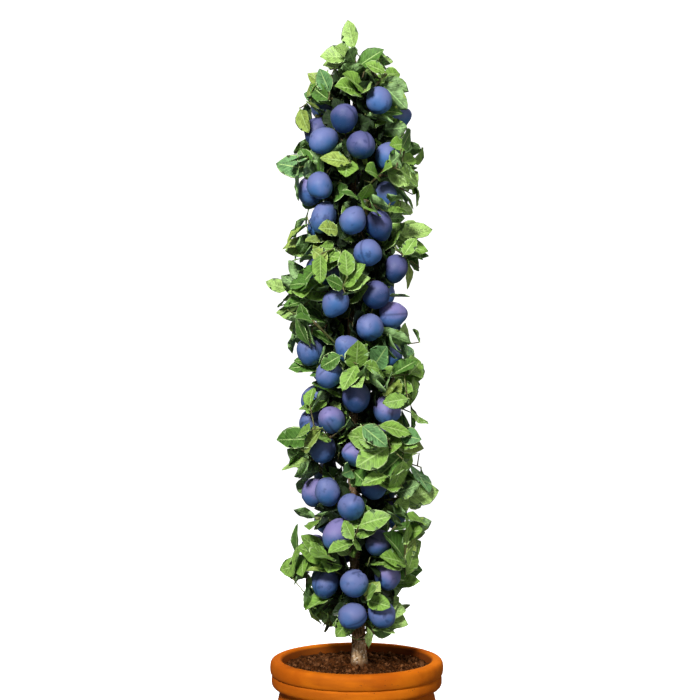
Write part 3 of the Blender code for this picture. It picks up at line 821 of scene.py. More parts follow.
# %% [markdown]
# ## Shader maths written as Python
#
# A pattern is easier to read as a formula than as a web of nodes. The class below wraps a
# node's output, so that adding or multiplying two of them adds a Math node. Everything else is
# added by one method that takes a node's kind, its settings and its sockets.

# %% A node output that does arithmetic
class Value:
    def __init__(self, paint, socket):
        self.paint = paint
        self.socket = socket

    def math(self, operation, *others):
        node = self.paint.add("Math", {"operation": operation}, enumerate((self,) + others))
        return Value(self.paint, node.outputs[0])

    def __add__(self, other):
        return self.math("ADD", other)

    def __mul__(self, other):
        return self.math("MULTIPLY", other)

    def __sub__(self, other):
        return self.math("SUBTRACT", other)

    def __rsub__(self, other):
        return self.math("MULTIPLY", -1.0) + other

    def __abs__(self):
        return self.math("ABSOLUTE")

    __radd__ = __add__
    __rmul__ = __mul__

    def over(self, low, high):
        """0 below low, 1 above high, and a soft step between"""
        node = self.paint.add("MapRange", {"interpolation_type": "SMOOTHSTEP"},
                              {"Value": self, "From Min": low, "From Max": high})
        return Value(self.paint, node.outputs[0])


print("values add, subtract and multiply")

# %% A material and its one way of adding nodes
class Paint:
    def __init__(self, name):
        self.material = bpy.data.materials.new(name)
        self.material.use_nodes = True
        self.tree = self.material.node_tree
        self.shader = self.tree.nodes["Principled BSDF"]

    def add(self, kind, settings=(), sockets=()):
        node = self.tree.nodes.new("ShaderNode" + kind)
        for name, setting in dict(settings).items():
            setattr(node, name, setting)
        for name, value in dict(sockets).items():
            self.plug(node.inputs[name], value)
        return node

    def plug(self, socket, value):
        if isinstance(value, Value):
            value = value.socket
        if isinstance(value, bpy.types.NodeSocket):
            self.tree.links.new(value, socket)
        else:
            socket.default_value = (*value, 1.0) if socket.type == "RGBA" else value

    def place(self, scale=(1.0, 1.0, 1.0)):
        """Object coordinates, stretched"""
        place = self.add("TexCoord").outputs["Object"]
        return self.add("Mapping", (), {"Vector": place, "Scale": scale}).outputs[0]

    def noise(self, scale, detail=3.0, stretch=(1.0, 1.0, 1.0)):
        sockets = {"Vector": self.place(stretch), "Scale": scale, "Detail": detail}
        return Value(self, self.add("TexNoise", (), sockets).outputs[0])

    def cells(self, scale, stretch=(1.0, 1.0, 1.0)):
        sockets = {"Vector": self.place(stretch), "Scale": scale}
        return Value(self, self.add("TexVoronoi", (), sockets).outputs["Distance"])

    def specks(self, scale, low, high, stretch=(1.0, 1.0, 1.0)):
        """1 in the middle of each cell, and 0 past its edge"""
        return 1 - self.cells(scale, stretch).over(low, high)

    def mix(self, factor, a, b):
        return self.add("Mix", {"data_type": "RGBA"}, {0: factor, 6: a, 7: b}).outputs[2]

    def part(self, output, axis):
        """One number of a vector"""
        return Value(self, self.add("SeparateXYZ", (), {0: output}).outputs[axis])

    def length(self, output):
        node = self.add("VectorMath", {"operation": "LENGTH"}, {0: output})
        return Value(self, node.outputs["Value"])

    def set(self, name, value):
        self.plug(self.shader.inputs[name], value)

    def finish(self, colour, roughness, height=None, depth=0.001, shine=0.3):
        self.set("Base Color", colour)
        self.set("Roughness", roughness)
        self.set("Specular IOR Level", shine)
        if height is not None:
            bump = self.add("Bump", (), {"Height": height, "Distance": depth, "Strength": 1.0})
            self.set("Normal", bump.outputs[0])
        return self.material


print("materials take nodes by one method")

# %% [markdown]
# ## The finishes
#
# Fired clay is an even orange that handling and watering have smudged. Its colour comes from two
# slow noises for the smudges, one fast noise for the grain and small cells for dark specks. What
# lies above the neck and nearer to the axis than the rim is painted darker: painted shade of the
# lip on the wall inside the rim.

# %% Fired clay
RIM_INNER_RADIUS = 0.1285
NECK_HEIGHT = 0.2107


def clay_paint():
    paint = Paint("fired_clay")
    smudge = paint.noise(9.0, 5.0).over(0.42, 0.62)
    streak = paint.noise(26.0, 4.0, (0.35, 0.35, 1.6)).over(0.45, 0.7)
    grain = paint.noise(420.0, 2.0)
    speck = paint.specks(170.0, 0.10, 0.20) * paint.noise(70.0).over(0.56, 0.62)
    colour = paint.mix(smudge, (0.440, 0.092, 0.0030), (0.600, 0.148, 0.0045))
    colour = paint.mix(streak * 0.55, colour, (0.270, 0.054, 0.004))
    colour = paint.mix(speck * 0.8, colour, (0.10, 0.030, 0.008))
    # Painted shade of the lip: the wall inside the rim, above the neck, is darkened
    from_axis = paint.length(paint.place((1.0, 1.0, 0.0)))
    inside = 1 - from_axis.over(RIM_INNER_RADIUS, RIM_INNER_RADIUS + 0.003)
    upper = paint.part(paint.place(), 2).over(NECK_HEIGHT, NECK_HEIGHT + 0.01)
    colour = paint.mix(inside * upper * 0.75, colour, (0.070, 0.016, 0.004))
    height = grain * 0.5 + streak * 0.3 - speck * 0.6
    return paint.finish(colour, grain * 0.2 + 0.62, height, 0.0006, 0.06)


CLAY = clay_paint()
print("finish", CLAY.name)

# %% [markdown]
# Potting soil is dark and crumbly. Cells of two sizes give crumbs, and a few light grains stand
# for bits of bark and sand. One crumb in four is a drier, warmer brown, so the finish is made
# twice from two sets of tones.

# %% Potting soil
def soil_paint(name, dark, mid, dry):
    paint = Paint(name)
    fine = paint.noise(600.0, 4.0)
    grain = paint.specks(120.0, 0.16, 0.24) * paint.noise(300.0).over(0.60, 0.66)
    colour = paint.mix(paint.noise(60.0, 3.0).over(0.40, 0.62), dark, mid)
    colour = paint.mix(fine.over(0.45, 0.75) * 0.6, colour, dry)
    colour = paint.mix(grain, colour, (0.300, 0.150, 0.065))
    return paint.finish(colour, 0.92, paint.cells(190.0) * 0.7 + fine * 0.3, 0.002, 0.05)


SOIL = soil_paint("potting_soil_damp",
                  (0.020, 0.006, 0.001), (0.072, 0.022, 0.005), (0.140, 0.048, 0.014))
DRY_SOIL = soil_paint("potting_soil_dry",
                      (0.085, 0.030, 0.010), (0.165, 0.064, 0.022), (0.250, 0.112, 0.046))
print("finishes", SOIL.name, "and", DRY_SOIL.name)

# %% [markdown]
# Bark runs along the trunk in flakes, so its noise is stretched upright. Pale speckles, the
# pores that plum bark breathes through, lie across it. Splashed soil darkens its foot, and
# higher up, inside the crown, the bark is painted darker and browner as painted shade of the crown.

# %% Bark and young wood
SPLASHED = (SOIL_TOP - 0.002, SOIL_TOP + 0.012)
# Heights over which the bark turns to painted shade of the crown
CROWN_SHADE_HEIGHTS = (0.34, 0.50)


def bark_paint():
    paint = Paint("bark_relief")
    flake = paint.noise(260.0, 6.0, (1.0, 1.0, 0.30))
    ring = paint.noise(170.0, 4.0, (0.5, 0.5, 2.2))
    pale = paint.specks(230.0, 0.26, 0.42, (0.7, 0.7, 1.2)) * paint.noise(150.0).over(0.40, 0.52)
    colour = paint.mix(flake.over(0.38, 0.60), (0.210, 0.115, 0.046), (0.600, 0.400, 0.225))
    colour = paint.mix(ring.over(0.5, 0.66) * 0.6, colour, (0.260, 0.155, 0.072))
    colour = paint.mix(pale * 0.95, colour, (0.860, 0.730, 0.560))
    height = paint.part(paint.place(), 2)
    colour = paint.mix(height.over(*SPLASHED), (0.110, 0.050, 0.020), colour)
    # Painted shade of the crown: from these heights up the bark is darkened
    colour = paint.mix(height.over(*CROWN_SHADE_HEIGHTS) * 0.75, colour, (0.075, 0.044, 0.020))
    return paint.finish(colour, 0.85, flake * 0.6 + ring * 0.3 + pale * 0.25, 0.0020, 0.15)


def wood_paint():
    paint = Paint("young_wood")
    age = paint.noise(60.0, 3.0).over(0.42, 0.60)
    colour = paint.mix(age, (0.085, 0.060, 0.026), (0.16, 0.19, 0.055))
    return paint.finish(colour, 0.65, paint.noise(900.0, 2.0), 0.0003)


BARK, WOOD = bark_paint(), wood_paint()
print("finishes", BARK.name, "and", WOOD.name)

# %% [markdown]
# A plum leaf is darker above than below, with a pale rib, fine side veins and a thin light
# margin. The veins follow the leaf, so they read a map that gives each point's place across and
# along its own leaf. The rib and the margin are plain colours on faces of their own.

# %% Leaf greens
# The nearly black green is painted shade for the leaves close to the trunk
GREENS = {
    "leaf_mid": (0.205, 0.372, 0.058), "leaf_deep": (0.084, 0.200, 0.028),
    "leaf_light": (0.330, 0.510, 0.130), "leaf_yellow": (0.285, 0.395, 0.075),
    "leaf_blue": (0.130, 0.290, 0.095), "leaf_shade": (0.016, 0.036, 0.007),
}
PAINTED_SHADE_GREEN = list(GREENS).index("leaf_shade")
UNDERSIDE = (0.220, 0.370, 0.130)
RIB = (0.370, 0.520, 0.180)
MARGIN = (0.440, 0.600, 0.240)
VEINS = 9.0


def tone(colour, share):
    return tuple(min(part * share, 1.0) for part in colour)


def leaf_paint(name, green, roughness=0.46):
    paint = Paint(name)
    place = paint.add("UVMap", {"uv_map": "leaf"}).outputs[0]
    across = abs(paint.part(place, 0) * 2.0 - 1.0)
    wave = ((paint.part(place, 1) - across * 0.22) * VEINS).math("FRACT")
    vein = 1 - abs(wave * 2.0 - 1.0).over(0.04, 0.30)
    blotch = paint.noise(130.0, 3.0).over(0.36, 0.66)
    light = tone(green, 1.70)
    # Painted shade in the fold along the rib: the blade is darker towards the rib and lighter
    # towards the margin
    colour = paint.mix((blotch * 0.6 + across * 0.7).over(0.05, 0.95), tone(green, 0.50), green)
    colour = paint.mix(vein * (0.62 - across * 0.30), colour, light)
    colour = paint.mix(0.9 - across.over(0.02, 0.10) * 0.9, colour, light)
    return paint.finish(colour, 0.12 * blotch + roughness, blotch * 0.3 - vein * 0.7, 0.0006, 0.4)


def plain_leaf_paint(name, colour):
    paint = Paint(name)
    grain = paint.noise(260.0, 2.0).over(0.35, 0.65)
    return paint.finish(paint.mix(grain, tone(colour, 0.78), colour), 0.55)


LEAF_SLOTS = [leaf_paint(name, green) for name, green in GREENS.items()]
LEAF_SLOTS.append(leaf_paint("leaf_underside", UNDERSIDE, 0.60))
LEAF_SLOTS += [plain_leaf_paint("leaf_rib", RIB), plain_leaf_paint("leaf_margin", MARGIN)]
UNDER_SLOT, RIB_SLOT, MARGIN_SLOT = range(len(GREENS), len(LEAF_SLOTS))
print("leaf slots", len(LEAF_SLOTS))

# %% [markdown]
# A ripe plum has a waxy bloom over a nearly black skin. Where the bloom is whole it is violet to
# blue. The side that faces up is painted lighter and more violet, as painted light, and the
# underside darker and deeper blue, as painted shade. Where the bloom is rubbed off the dark skin
# shows. The side that faces up is read from the surface's own normal, which is the same from
# wherever the plum is looked at. The seam's painted shade is read from the plum's own map.

# %% Plum skins
# Each tint is a lighter top, as painted light, and a darker bottom, as painted shade
PLUM_TINTS = {
    "plum_violet": ((0.190, 0.168, 0.365), (0.055, 0.130, 0.325)),
    "plum_blue": ((0.128, 0.155, 0.335), (0.042, 0.122, 0.310)),
    "plum_dark": ((0.090, 0.096, 0.228), (0.013, 0.046, 0.136)),
}


def plum_paint(name, top, bottom):
    paint = Paint(name)
    facing = paint.part(paint.add("NewGeometry").outputs["Normal"], 2)
    cloud = paint.noise(38.0, 4.0)
    rubbed = paint.noise(75.0, 5.0).over(0.57, 0.70)
    dust = paint.specks(420.0, 0.10, 0.20) * paint.noise(120.0).over(0.52, 0.60)
    place = paint.add("UVMap", {"uv_map": "skin"}).outputs[0]
    beside = abs(paint.part(place, 0) * 2.0 - 1.0)
    # Painted shade in the seam's crease: a dark line along the seam
    seam = (1 - beside.over(0.0, 0.16)) * paint.part(place, 1).over(0.5, 0.7)
    # Painted light and shade: lighter and more violet where the surface faces up, darker and bluer
    # where it faces down
    colour = paint.mix((facing * 0.9 + cloud * 1.8).over(0.25, 1.45), bottom, top)
    colour = paint.mix(rubbed * 0.50, colour, (0.012, 0.026, 0.085))
    colour = paint.mix(seam * 0.50, colour, (0.010, 0.016, 0.060))
    colour = paint.mix(dust * 0.40, colour, (0.30, 0.25, 0.45))
    return paint.finish(colour, 0.56 - 0.14 * rubbed, cloud, 0.0004, 0.25)


PLUM_SLOTS = [plum_paint(name, top, bottom) for name, (top, bottom) in PLUM_TINTS.items()]
print("plum slots", len(PLUM_SLOTS))

# %% [markdown]
# ## Working by hand, in code
#
# Every new piece starts from a primitive and is shaped in edit mode. The helpers below select
# nothing but the new object, pick its parts by their place, and set the finished mesh down at
# the origin with its place in its points.

# %% Hands
def begin(add, **settings):
    """A primitive alone in edit mode, with all of it selected"""
    bpy.ops.object.select_all(action="DESELECT")
    add(**settings)
    bpy.ops.object.mode_set(mode="EDIT")
    return bpy.context.object


def end(piece, name, smooth_angle=None):
    """Back to object mode, with the object's own place moved into its mesh"""
    bpy.ops.object.mode_set(mode="OBJECT")
    bpy.ops.object.transform_apply(location=True, rotation=True, scale=True)
    piece.name = piece.data.name = name
    if smooth_angle:
        bpy.ops.object.shade_smooth_by_angle(angle=math.radians(smooth_angle))
    return piece


def pick(piece, wanted):
    """Select the vertices whose place fits"""
    bpy.ops.mesh.select_mode(type="VERT")
    bpy.ops.mesh.select_all(action="DESELECT")
    bpy.ops.object.mode_set(mode="OBJECT")
    for vertex in piece.data.vertices:
        vertex.select = wanted(piece.matrix_world @ vertex.co)
    bpy.ops.object.mode_set(mode="EDIT")


def move(x, y, z):
    bpy.ops.transform.translate(value=(x, y, z))


def resize(x, y, z, about=(0, 0, 0)):
    bpy.ops.transform.resize(value=(x, y, z), center_override=about)


def extrude(x, y, z):
    bpy.ops.mesh.extrude_region_move(TRANSFORM_OT_translate={"value": (x, y, z)})


def face_out():
    bpy.ops.mesh.select_all(action="SELECT")
    bpy.ops.mesh.normals_make_consistent(inside=False)


def ring_by_ring(name, sides, rings, smooth_angle=None):
    """A disc extruded from ring to ring, each given by its middle and its radius"""
    piece = begin(bpy.ops.mesh.primitive_circle_add, vertices=sides, radius=rings[0][1],
                  fill_type="NGON", location=rings[0][0])
    for (below, r_below), (here, r_here) in zip(rings, rings[1:]):
        extrude(*(here - below))
        resize(*[r_here / r_below] * 3, about=here)
    face_out()
    return end(piece, name, smooth_angle)


def roughen(piece, name, grain, depth, **settings):
    """Push a finished piece's points in and out by a cloud of noise"""
    cloud = bpy.data.textures.new(name, "CLOUDS")
    cloud.noise_scale = grain
    cloud.noise_depth = depth
    modifier = piece.modifiers.new(name, "DISPLACE")
    modifier.texture = cloud
    modifier.texture_coords = "OBJECT"
    for setting, value in settings.items():
        setattr(modifier, setting, value)
    bpy.ops.object.modifier_apply(modifier=modifier.name)


print("hands ready")

# %% [markdown]
# ## The pot
#
# A potter throws this shape on a wheel: a base, a belly, a tight neck, and a thick rim rolled
# outwards with a groove under it. The same steps serve here. A disc the size of the base is
# extruded ring after ring up the outside, over the rim and down the inside to the floor. A smooth
# curve runs through a few marks. Those of the rim are read from the photograph. It ends below
# them, so the belly and the base follow a common pot.

# %% The pot's outline
RIM_RADIUS = 0.150
RIM_TOP = 0.262
GROOVE_RADIUS = 0.146
GROOVE_HEIGHT = 0.2344
BEAD_RADIUS = 0.1474
NECK_RADIUS = 0.1316
BELLY_RADIUS = 0.141
BELLY_HEIGHT = 0.155
BASE_RADIUS = 0.098
POT_WALL = 0.011
POT_FLOOR = 0.014


def smooth_line(steps, *marks):
    """Points on a smooth curve through the marks"""
    line = []
    ends = [marks[0], *marks, marks[-1]]
    for a, b, c, d in zip(ends, ends[1:], ends[2:], ends[3:]):
        for k in range(steps):
            t = k / steps
            line.append(tuple(
                0.5 * (2 * q + (r - p) * t + (2 * p - 5 * q + 4 * r - s) * t * t
                       + (3 * q - p - 3 * r + s) * t ** 3)
                for p, q, r, s in zip(a, b, c, d)))
    return line + [marks[-1]]


body = smooth_line(
    5, (BASE_RADIUS, 0.0), (BASE_RADIUS + 0.0035, 0.004), (0.1070, 0.018), (0.1210, 0.060),
    (BELLY_RADIUS - 0.003, 0.112), (BELLY_RADIUS, BELLY_HEIGHT),
    (BELLY_RADIUS - 0.004, 0.188), (NECK_RADIUS, NECK_HEIGHT))
bead = smooth_line(
    3, (NECK_RADIUS, NECK_HEIGHT + 0.0006), (0.1375, 0.2122), (0.1440, 0.2152),
    (BEAD_RADIUS - 0.0004, 0.2200), (BEAD_RADIUS, 0.2265), (BEAD_RADIUS - 0.0004, 0.2318),
    (GROOVE_RADIUS, GROOVE_HEIGHT))
lip = smooth_line(
    3, (GROOVE_RADIUS + 0.0002, GROOVE_HEIGHT + 0.0006), (0.1484, 0.2372), (0.1497, 0.2420),
    (RIM_RADIUS, 0.2490), (0.1486, 0.2565), (0.1450, 0.2605), (0.1395, RIM_TOP), (0.1345, 0.2612))
inside = [
    (RIM_INNER_RADIUS + 0.004, RIM_TOP - 0.0006), (RIM_INNER_RADIUS, RIM_TOP - 0.005),
    (RIM_INNER_RADIUS - 0.001, 0.235), (NECK_RADIUS - POT_WALL, NECK_HEIGHT),
    (BELLY_RADIUS - POT_WALL, BELLY_HEIGHT), (0.110, 0.06), (BASE_RADIUS - 0.008, POT_FLOOR)]
print("pot outline", len(body + bead + lip + inside), "rings")

# %% The pot
POT_SIDES = 128

outline = [(UP * height, radius) for radius, height in body + bead + lip + inside]
pot = ring_by_ring("clay_pot", POT_SIDES, outline, 40)
pot.data.materials.append(CLAY)
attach(pot, "root")
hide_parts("pot")
print("pot", [round(side, 3) for side in pot.dimensions])

# %% [markdown]
# ## The soil
#
# The soil lies a little under the lip, highest round the trunk, in crumbs from sand to pea size.
# A disc is extruded ring after ring towards its middle, then displaced by a soft noise. The
# crumbs are one rough ball, copied over two thousand times at random turns and sizes and joined.

# %% The soil's surface
SOIL_SIDES = 96
SOIL_EDGE_HEIGHT = 0.2495
SOIL_RADIUS = RIM_INNER_RADIUS - 0.0004
SOIL_INSET = 0.004
SOIL_DEPTH = 0.03
SOIL_STEP = 0.0045
SOIL_MIDDLE = 0.012
SOIL_SUNK = 0.003
SOIL_EDGE_SUNK = 0.002


def soil_level(radius):
    return SOIL_TOP - (SOIL_TOP - SOIL_EDGE_HEIGHT) * radius / SOIL_RADIUS


rings = [(UP * (SOIL_EDGE_HEIGHT - SOIL_DEPTH), SOIL_RADIUS - SOIL_INSET),
         (UP * (SOIL_EDGE_HEIGHT - SOIL_EDGE_SUNK), SOIL_RADIUS)]
while rings[-1][1] > SOIL_MIDDLE:
    smaller = rings[-1][1] - SOIL_STEP
    rings.append((UP * (soil_level(smaller) - SOIL_SUNK), smaller))
soil = ring_by_ring("soil_surface", SOIL_SIDES, rings, 60)
roughen(soil, "lumps", 0.012, 2, strength=0.006, mid_level=0.62, direction="Z")
soil.data.materials.append(SOIL)
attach(soil, "root")
print("soil faces", len(soil.data.polygons))

# %% [markdown]
# ## Many copies as one mesh
#
# Crumbs, twigs, leaves and plums are each modelled once. Separate objects for all of them would
# be slow, so the points of the model are copied by array arithmetic and joined in one mesh.

# %% Copies joined from arrays
class Model:
    """One shape's points and faces, read from a finished object"""

    def __init__(self, piece):
        mesh = piece.data
        self.points = np.array([vertex.co[:] for vertex in mesh.vertices])
        self.faces = [tuple(face.vertices) for face in mesh.polygons]
        self.map = None
        bpy.data.objects.remove(piece)

    def set_map(self, name, across, along):
        """A map with the same two numbers, each from 0 to 1, wherever a point is a corner"""
        corners = [corner for face in self.faces for corner in face]
        self.map = name, np.stack([across, along], 1)[corners]


def join_copies(name, model, copies, slots, paints):
    """One mesh from many placed copies of a model, each with its own slots"""
    count = len(model.points)
    faces = [tuple(k * count + corner for corner in face)
             for k in range(len(copies)) for face in model.faces]
    mesh = bpy.data.meshes.new(name)
    mesh.from_pydata(np.concatenate(copies).tolist(), [], faces)
    for paint in paints:
        mesh.materials.append(paint)
    mesh.polygons.foreach_set("material_index", np.concatenate(slots))
    mesh.polygons.foreach_set("use_smooth", [True] * len(mesh.polygons))
    if model.map:
        layer = mesh.uv_layers.new(name=model.map[0])
        layer.data.foreach_set("uv", np.tile(model.map[1].ravel(), len(copies)))
    mesh.update()
    piece = put_in_scene(name, mesh)
    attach(piece, "root")
    print(name, "copies", len(copies), "faces", len(mesh.polygons))
    return piece


def axes(along, side):
    """Three square directions from one and a hint of the second, as rows"""
    along = along.normalized()
    side = square_to(along, side)
    return np.array([side[:], along.cross(side)[:], along[:]])


print("copies are joined from arrays")

# %% Crumbs of soil
CRUMBS = 2600
CRUMB_SIZE = (0.0011, 0.0058)
CRUMB_SUNK = 0.0035
CRUMBS_FROM = 0.014
CRUMBS_TO = SOIL_RADIUS - 0.004
DRY_SHARE = 0.28

crumb = begin(bpy.ops.mesh.primitive_ico_sphere_add, subdivisions=1, radius=1.0)
bpy.ops.transform.vertex_random(offset=0.35, seed=4)
bpy.ops.transform.resize(value=(1.0, 0.8, 0.7))
crumb = Model(end(crumb, "crumb"))
rng = random.Random(SEED)
copies = []
for k in range(CRUMBS):
    spot = bearing_vector(rng.uniform(0.0, math.tau)) * CRUMBS_TO * math.sqrt(rng.random())
    if spot.length >= CRUMBS_FROM:
        size = lerp(*CRUMB_SIZE, rng.random() ** 3)
        turned = axes(random_unit(rng), random_unit(rng))
        height = soil_level(spot.length) - CRUMB_SUNK + size * 0.2
        copies.append(crumb.points * size @ turned + np.array([spot.x, spot.y, height]))
slots = [[int(rng.random() < DRY_SHARE)] * len(crumb.faces) for copy in copies]
crumbs = join_copies("soil_crumbs", crumb, copies, slots, [SOIL, DRY_SOIL])
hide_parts("soil")
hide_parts("soil")

# %% [markdown]
# ## The trunk
#
# The trunk is as thick as a thumb at the soil and runs out at the tip. A curve with a bevel
# would be quicker, but its rings can't be roughened one by one. A small disc is extruded along
# the trunk's line instead, each ring scaled to the trunk's thickness there, and the bark's
# relief comes from displacing the many small faces.

# %% The trunk
TRUNK_SIDES = 28
TRUNK_STEP = 0.006
FINE_STEPS_TO = 0.36
BARK_DEPTH = 0.0016
TRUNK_SUNK = 0.004

heights = [SOIL_TOP - TRUNK_SUNK]
while heights[-1] < TRUNK_TOP - TRUNK_STEP:
    heights.append(heights[-1] + TRUNK_STEP * (0.5 if heights[-1] < FINE_STEPS_TO else 1.0))
rings = [(trunk_centre(z), trunk_radius(z)) for z in heights + [TRUNK_TOP]]
trunk = ring_by_ring("trunk_bark", TRUNK_SIDES, rings, 60)
roughen(trunk, "flakes", 0.0045, 3, strength=BARK_DEPTH, mid_level=0.55)
trunk.data.materials.append(BARK)
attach(trunk, "root")
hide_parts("trunk")
print("trunk rings", len(rings))

# %% [markdown]
# ## Twigs
#
# A twig is a short tapered rod with a swelling where leaves join it. One rod of six sides is
# modelled with a length and a radius of one metre, and each copy is squeezed to its own length
# and to the radius at each of its ends.

# %% All twigs and stalks
ROD = ((0.0, 1.0), (0.12, 1.0), (0.5, 0.9), (0.88, 1.05), (1.0, 0.9))
ROD_HINT = Vector((0.31, 0.95, 0.1))

rod = Model(ring_by_ring("rod", 6, [(UP * height, radius) for height, radius in ROD]))


def rod_copy(a, b, r_a, r_b):
    shape = rod.points.copy()
    shape[:, :2] *= lerp(r_a, r_b, shape[:, 2:3])
    shape[:, 2] *= (b - a).length
    return shape @ axes(b - a, ROD_HINT) + np.array(a[:])


copies = [rod_copy(*run) for spray in sprays for points, radii in spray.twigs + spray.stalks
          for run in zip(points, points[1:], radii, radii[1:])]
slots = [[0] * len(rod.faces)] * len(copies)
twigs = join_copies("twigs", rod, copies, slots, [WOOD])

# %% [markdown]
# ## Leaves
#
# A plum leaf is oval, widest at its middle, with a short stalk and a point. It could be cut from
# a flat picture, but a real outline holds in every light. One narrow strip is extruded along the
# leaf and widened row by row. A second, simpler strip closes it below, so the leaf is a thin lens
# whose two sides, rib and margin can have their own colours.

# %% One leaf
LEAF_ROWS = (
    (0.00, 0.04), (0.09, 0.06), (0.17, 0.44), (0.30, 0.84), (0.46, 1.00), (0.64, 0.95),
    (0.80, 0.68), (0.92, 0.32), (1.00, 0.03),
)
RIB_SHARE = 0.048
MARGIN_SHARE = 0.89


def leaf_width(along):
    """Half the width there, for a leaf one metre long"""
    share = LEAF_ROWS[-1][1]
    for (a, w_a), (b, w_b) in zip(LEAF_ROWS, LEAF_ROWS[1:]):
        if along <= b + 0.0001:
            share = lerp(w_a, w_b, (along - a) / (b - a))
            break
    return share * LEAF_WIDTH / 2


def leaf_strip(*columns):
    """A flat strip of some columns, extruded along the leaf and widened row by row"""
    strip = begin(bpy.ops.mesh.primitive_grid_add, x_subdivisions=len(columns) - 1,
                  y_subdivisions=1, size=1.0)
    for k, share in enumerate(columns):
        middle = k / (len(columns) - 1) - 0.5
        pick(strip, lambda p: abs(p.x - middle) < 0.01 and abs(p.z) < 0.5)
        move(share * 0.5 - middle, 0, 1)
    bpy.ops.mesh.select_all(action="SELECT")
    move(0, 0, -1)
    for side, row in ((-1, LEAF_ROWS[0][0]), (1, LEAF_ROWS[1][0])):
        pick(strip, lambda p: p.y * side > 0.4)
        move(0, row - side * 0.5, 0)
        resize(leaf_width(row) * 2, 1, 1, (0, row, 0))
    for (a, w_a), (b, w_b) in zip(LEAF_ROWS[1:], LEAF_ROWS[2:]):
        extrude(0, b - a, 0)
        resize(w_b / w_a, 1, 1, (0, b, 0))
    return strip


upper = end(leaf_strip(-1.0, -MARGIN_SHARE, -RIB_SHARE, RIB_SHARE, MARGIN_SHARE, 1.0), "upper")
print("upper side", len(upper.data.polygons), "faces")

# %% The leaf closed below
LEAF_BULGE = 0.007
BLADE_SLOT = 99


def leaf_slot(face):
    """The rib, the margin, the blade or the underside, by where a face lies"""
    across = abs(face.center.x) / leaf_width(face.center.y)
    on_stalk = face.center.y < LEAF_ROWS[1][0]
    if on_stalk or across < RIB_SHARE:
        return RIB_SLOT
    if face.normal.z < 0:
        return UNDER_SLOT
    return MARGIN_SLOT if across > MARGIN_SHARE else BLADE_SLOT


lower = leaf_strip(-1.0, 0.0, 1.0)
pick(lower, lambda p: abs(p.x) < 0.001 and 0.05 < p.y < 0.95)
move(0, 0, -LEAF_BULGE)
face_out()
lower = end(lower, "lower")
for side, sign in ((upper, 1), (lower, -1)):
    if sum(face.normal.z for face in side.data.polygons) * sign < 0:
        side.data.flip_normals()
bpy.ops.object.select_all(action="DESELECT")
upper.select_set(True)
lower.select_set(True)
bpy.context.view_layer.objects.active = upper
bpy.ops.object.join()
bpy.ops.object.mode_set(mode="EDIT")
bpy.ops.mesh.select_all(action="SELECT")
bpy.ops.mesh.remove_doubles(threshold=0.0005)
leaf_piece = end(upper, "leaf")
leaf_slots = np.array([leaf_slot(face) for face in leaf_piece.data.polygons])
leaf_model = Model(leaf_piece)
leaf_x, leaf_y, leaf_z = leaf_model.points.T
leaf_model.set_map("leaf", 0.5 + 0.5 * leaf_x / [leaf_width(y) for y in leaf_y], leaf_y)
print("leaf faces", len(leaf_slots), "blade faces", int((leaf_slots == BLADE_SLOT).sum()))

# %% [markdown]
# Each copy is folded a little along its rib, arched towards its tip, twisted and rippled, and its
# edge is made uneven, all by its own amounts. A spray keeps to one green, with some leaves of
# another, because leaves of one spur have the same age and light.

# %% All leaves
LEAF_FOLD = (0.05, 0.38)
LEAF_ARCH = (-0.02, 0.20)
LEAF_SPREAD = (0.92, 1.12)
LEAF_UNEVEN = 0.06
LEAF_TWIST = 0.35
LEAF_RIPPLE = 0.1
PLAIN_MARGIN_SHARE = 0.35
SPRAY_GREENS = (0, 2, 0, 0, 3, 0, 2, 1)
STRAY_SHARE = 0.40
STRAY_GREENS = (0, 1, 1, 2, 2, 3, 4)

rng = random.Random(SEED + 1)


def leaf_copy(leaf):
    """The model folded, arched and twisted, at its place"""
    uneven = np.sin(leaf_y * 31.0 + np.sign(leaf_x) * rng.uniform(0.0, math.tau)) * LEAF_UNEVEN
    x = leaf_x * rng.uniform(*LEAF_SPREAD) * (1.0 + uneven)
    z = leaf_z + abs(x) * rng.uniform(*LEAF_FOLD) - rng.uniform(*LEAF_ARCH) * leaf_y ** 2
    phase = np.sign(x) * 1.3 + rng.uniform(0.0, math.tau)
    z = z + LEAF_RIPPLE * np.sin(leaf_y * 11.0 + phase) * abs(x)
    turn = rng.uniform(-LEAF_TWIST, LEAF_TWIST) * leaf_y
    shape = [x * np.cos(turn) - z * np.sin(turn), leaf_y, x * np.sin(turn) + z * np.cos(turn)]
    turned = np.array([leaf.direction.cross(leaf.normal)[:], leaf.direction[:], leaf.normal[:]])
    return np.stack(shape, 1) * leaf.length @ turned + np.array(leaf.base[:])


def slots_of(green):
    slots = leaf_slots.copy()
    slots[slots == BLADE_SLOT] = green
    if rng.random() < PLAIN_MARGIN_SHARE:
        slots[slots == MARGIN_SLOT] = green
    # Leaves in the shade are painted all over in the nearly black green, as painted shade
    if green == PAINTED_SHADE_GREEN:
        slots[:] = green
    return slots


def outer_leaves():
    """Each leaf in the light with its green, dealt out by spray"""
    for index, spray in enumerate(sprays):
        own_green = SPRAY_GREENS[index % len(SPRAY_GREENS)]
        for leaf in spray.leaves:
            yield leaf, rng.choice(STRAY_GREENS) if rng.random() < STRAY_SHARE else own_green


def join_leaves(name, leaves_and_greens):
    copies, slots = zip(*[(leaf_copy(leaf), slots_of(green)) for leaf, green in leaves_and_greens])
    return join_copies(name, leaf_model, copies, slots, LEAF_SLOTS)


leaves = join_leaves("leaves", outer_leaves())
shade_leaves = join_leaves("shade_leaves",
                           ((leaf, PAINTED_SHADE_GREEN) for spray in sprays for leaf in spray.shade))

# %% [markdown]
# ## Plums
#
# These plums are round to egg-shaped, with a seam down one side and a dimple where the stalk
# goes in. A ball of a few hundred faces is stretched, its top is pushed in, one meridian is
# drawn inwards for the seam and the cheeks beside it are puffed out, and the end is drawn to a
# blunt point.

# %% One plum
PLUM_STRETCH = 1.06

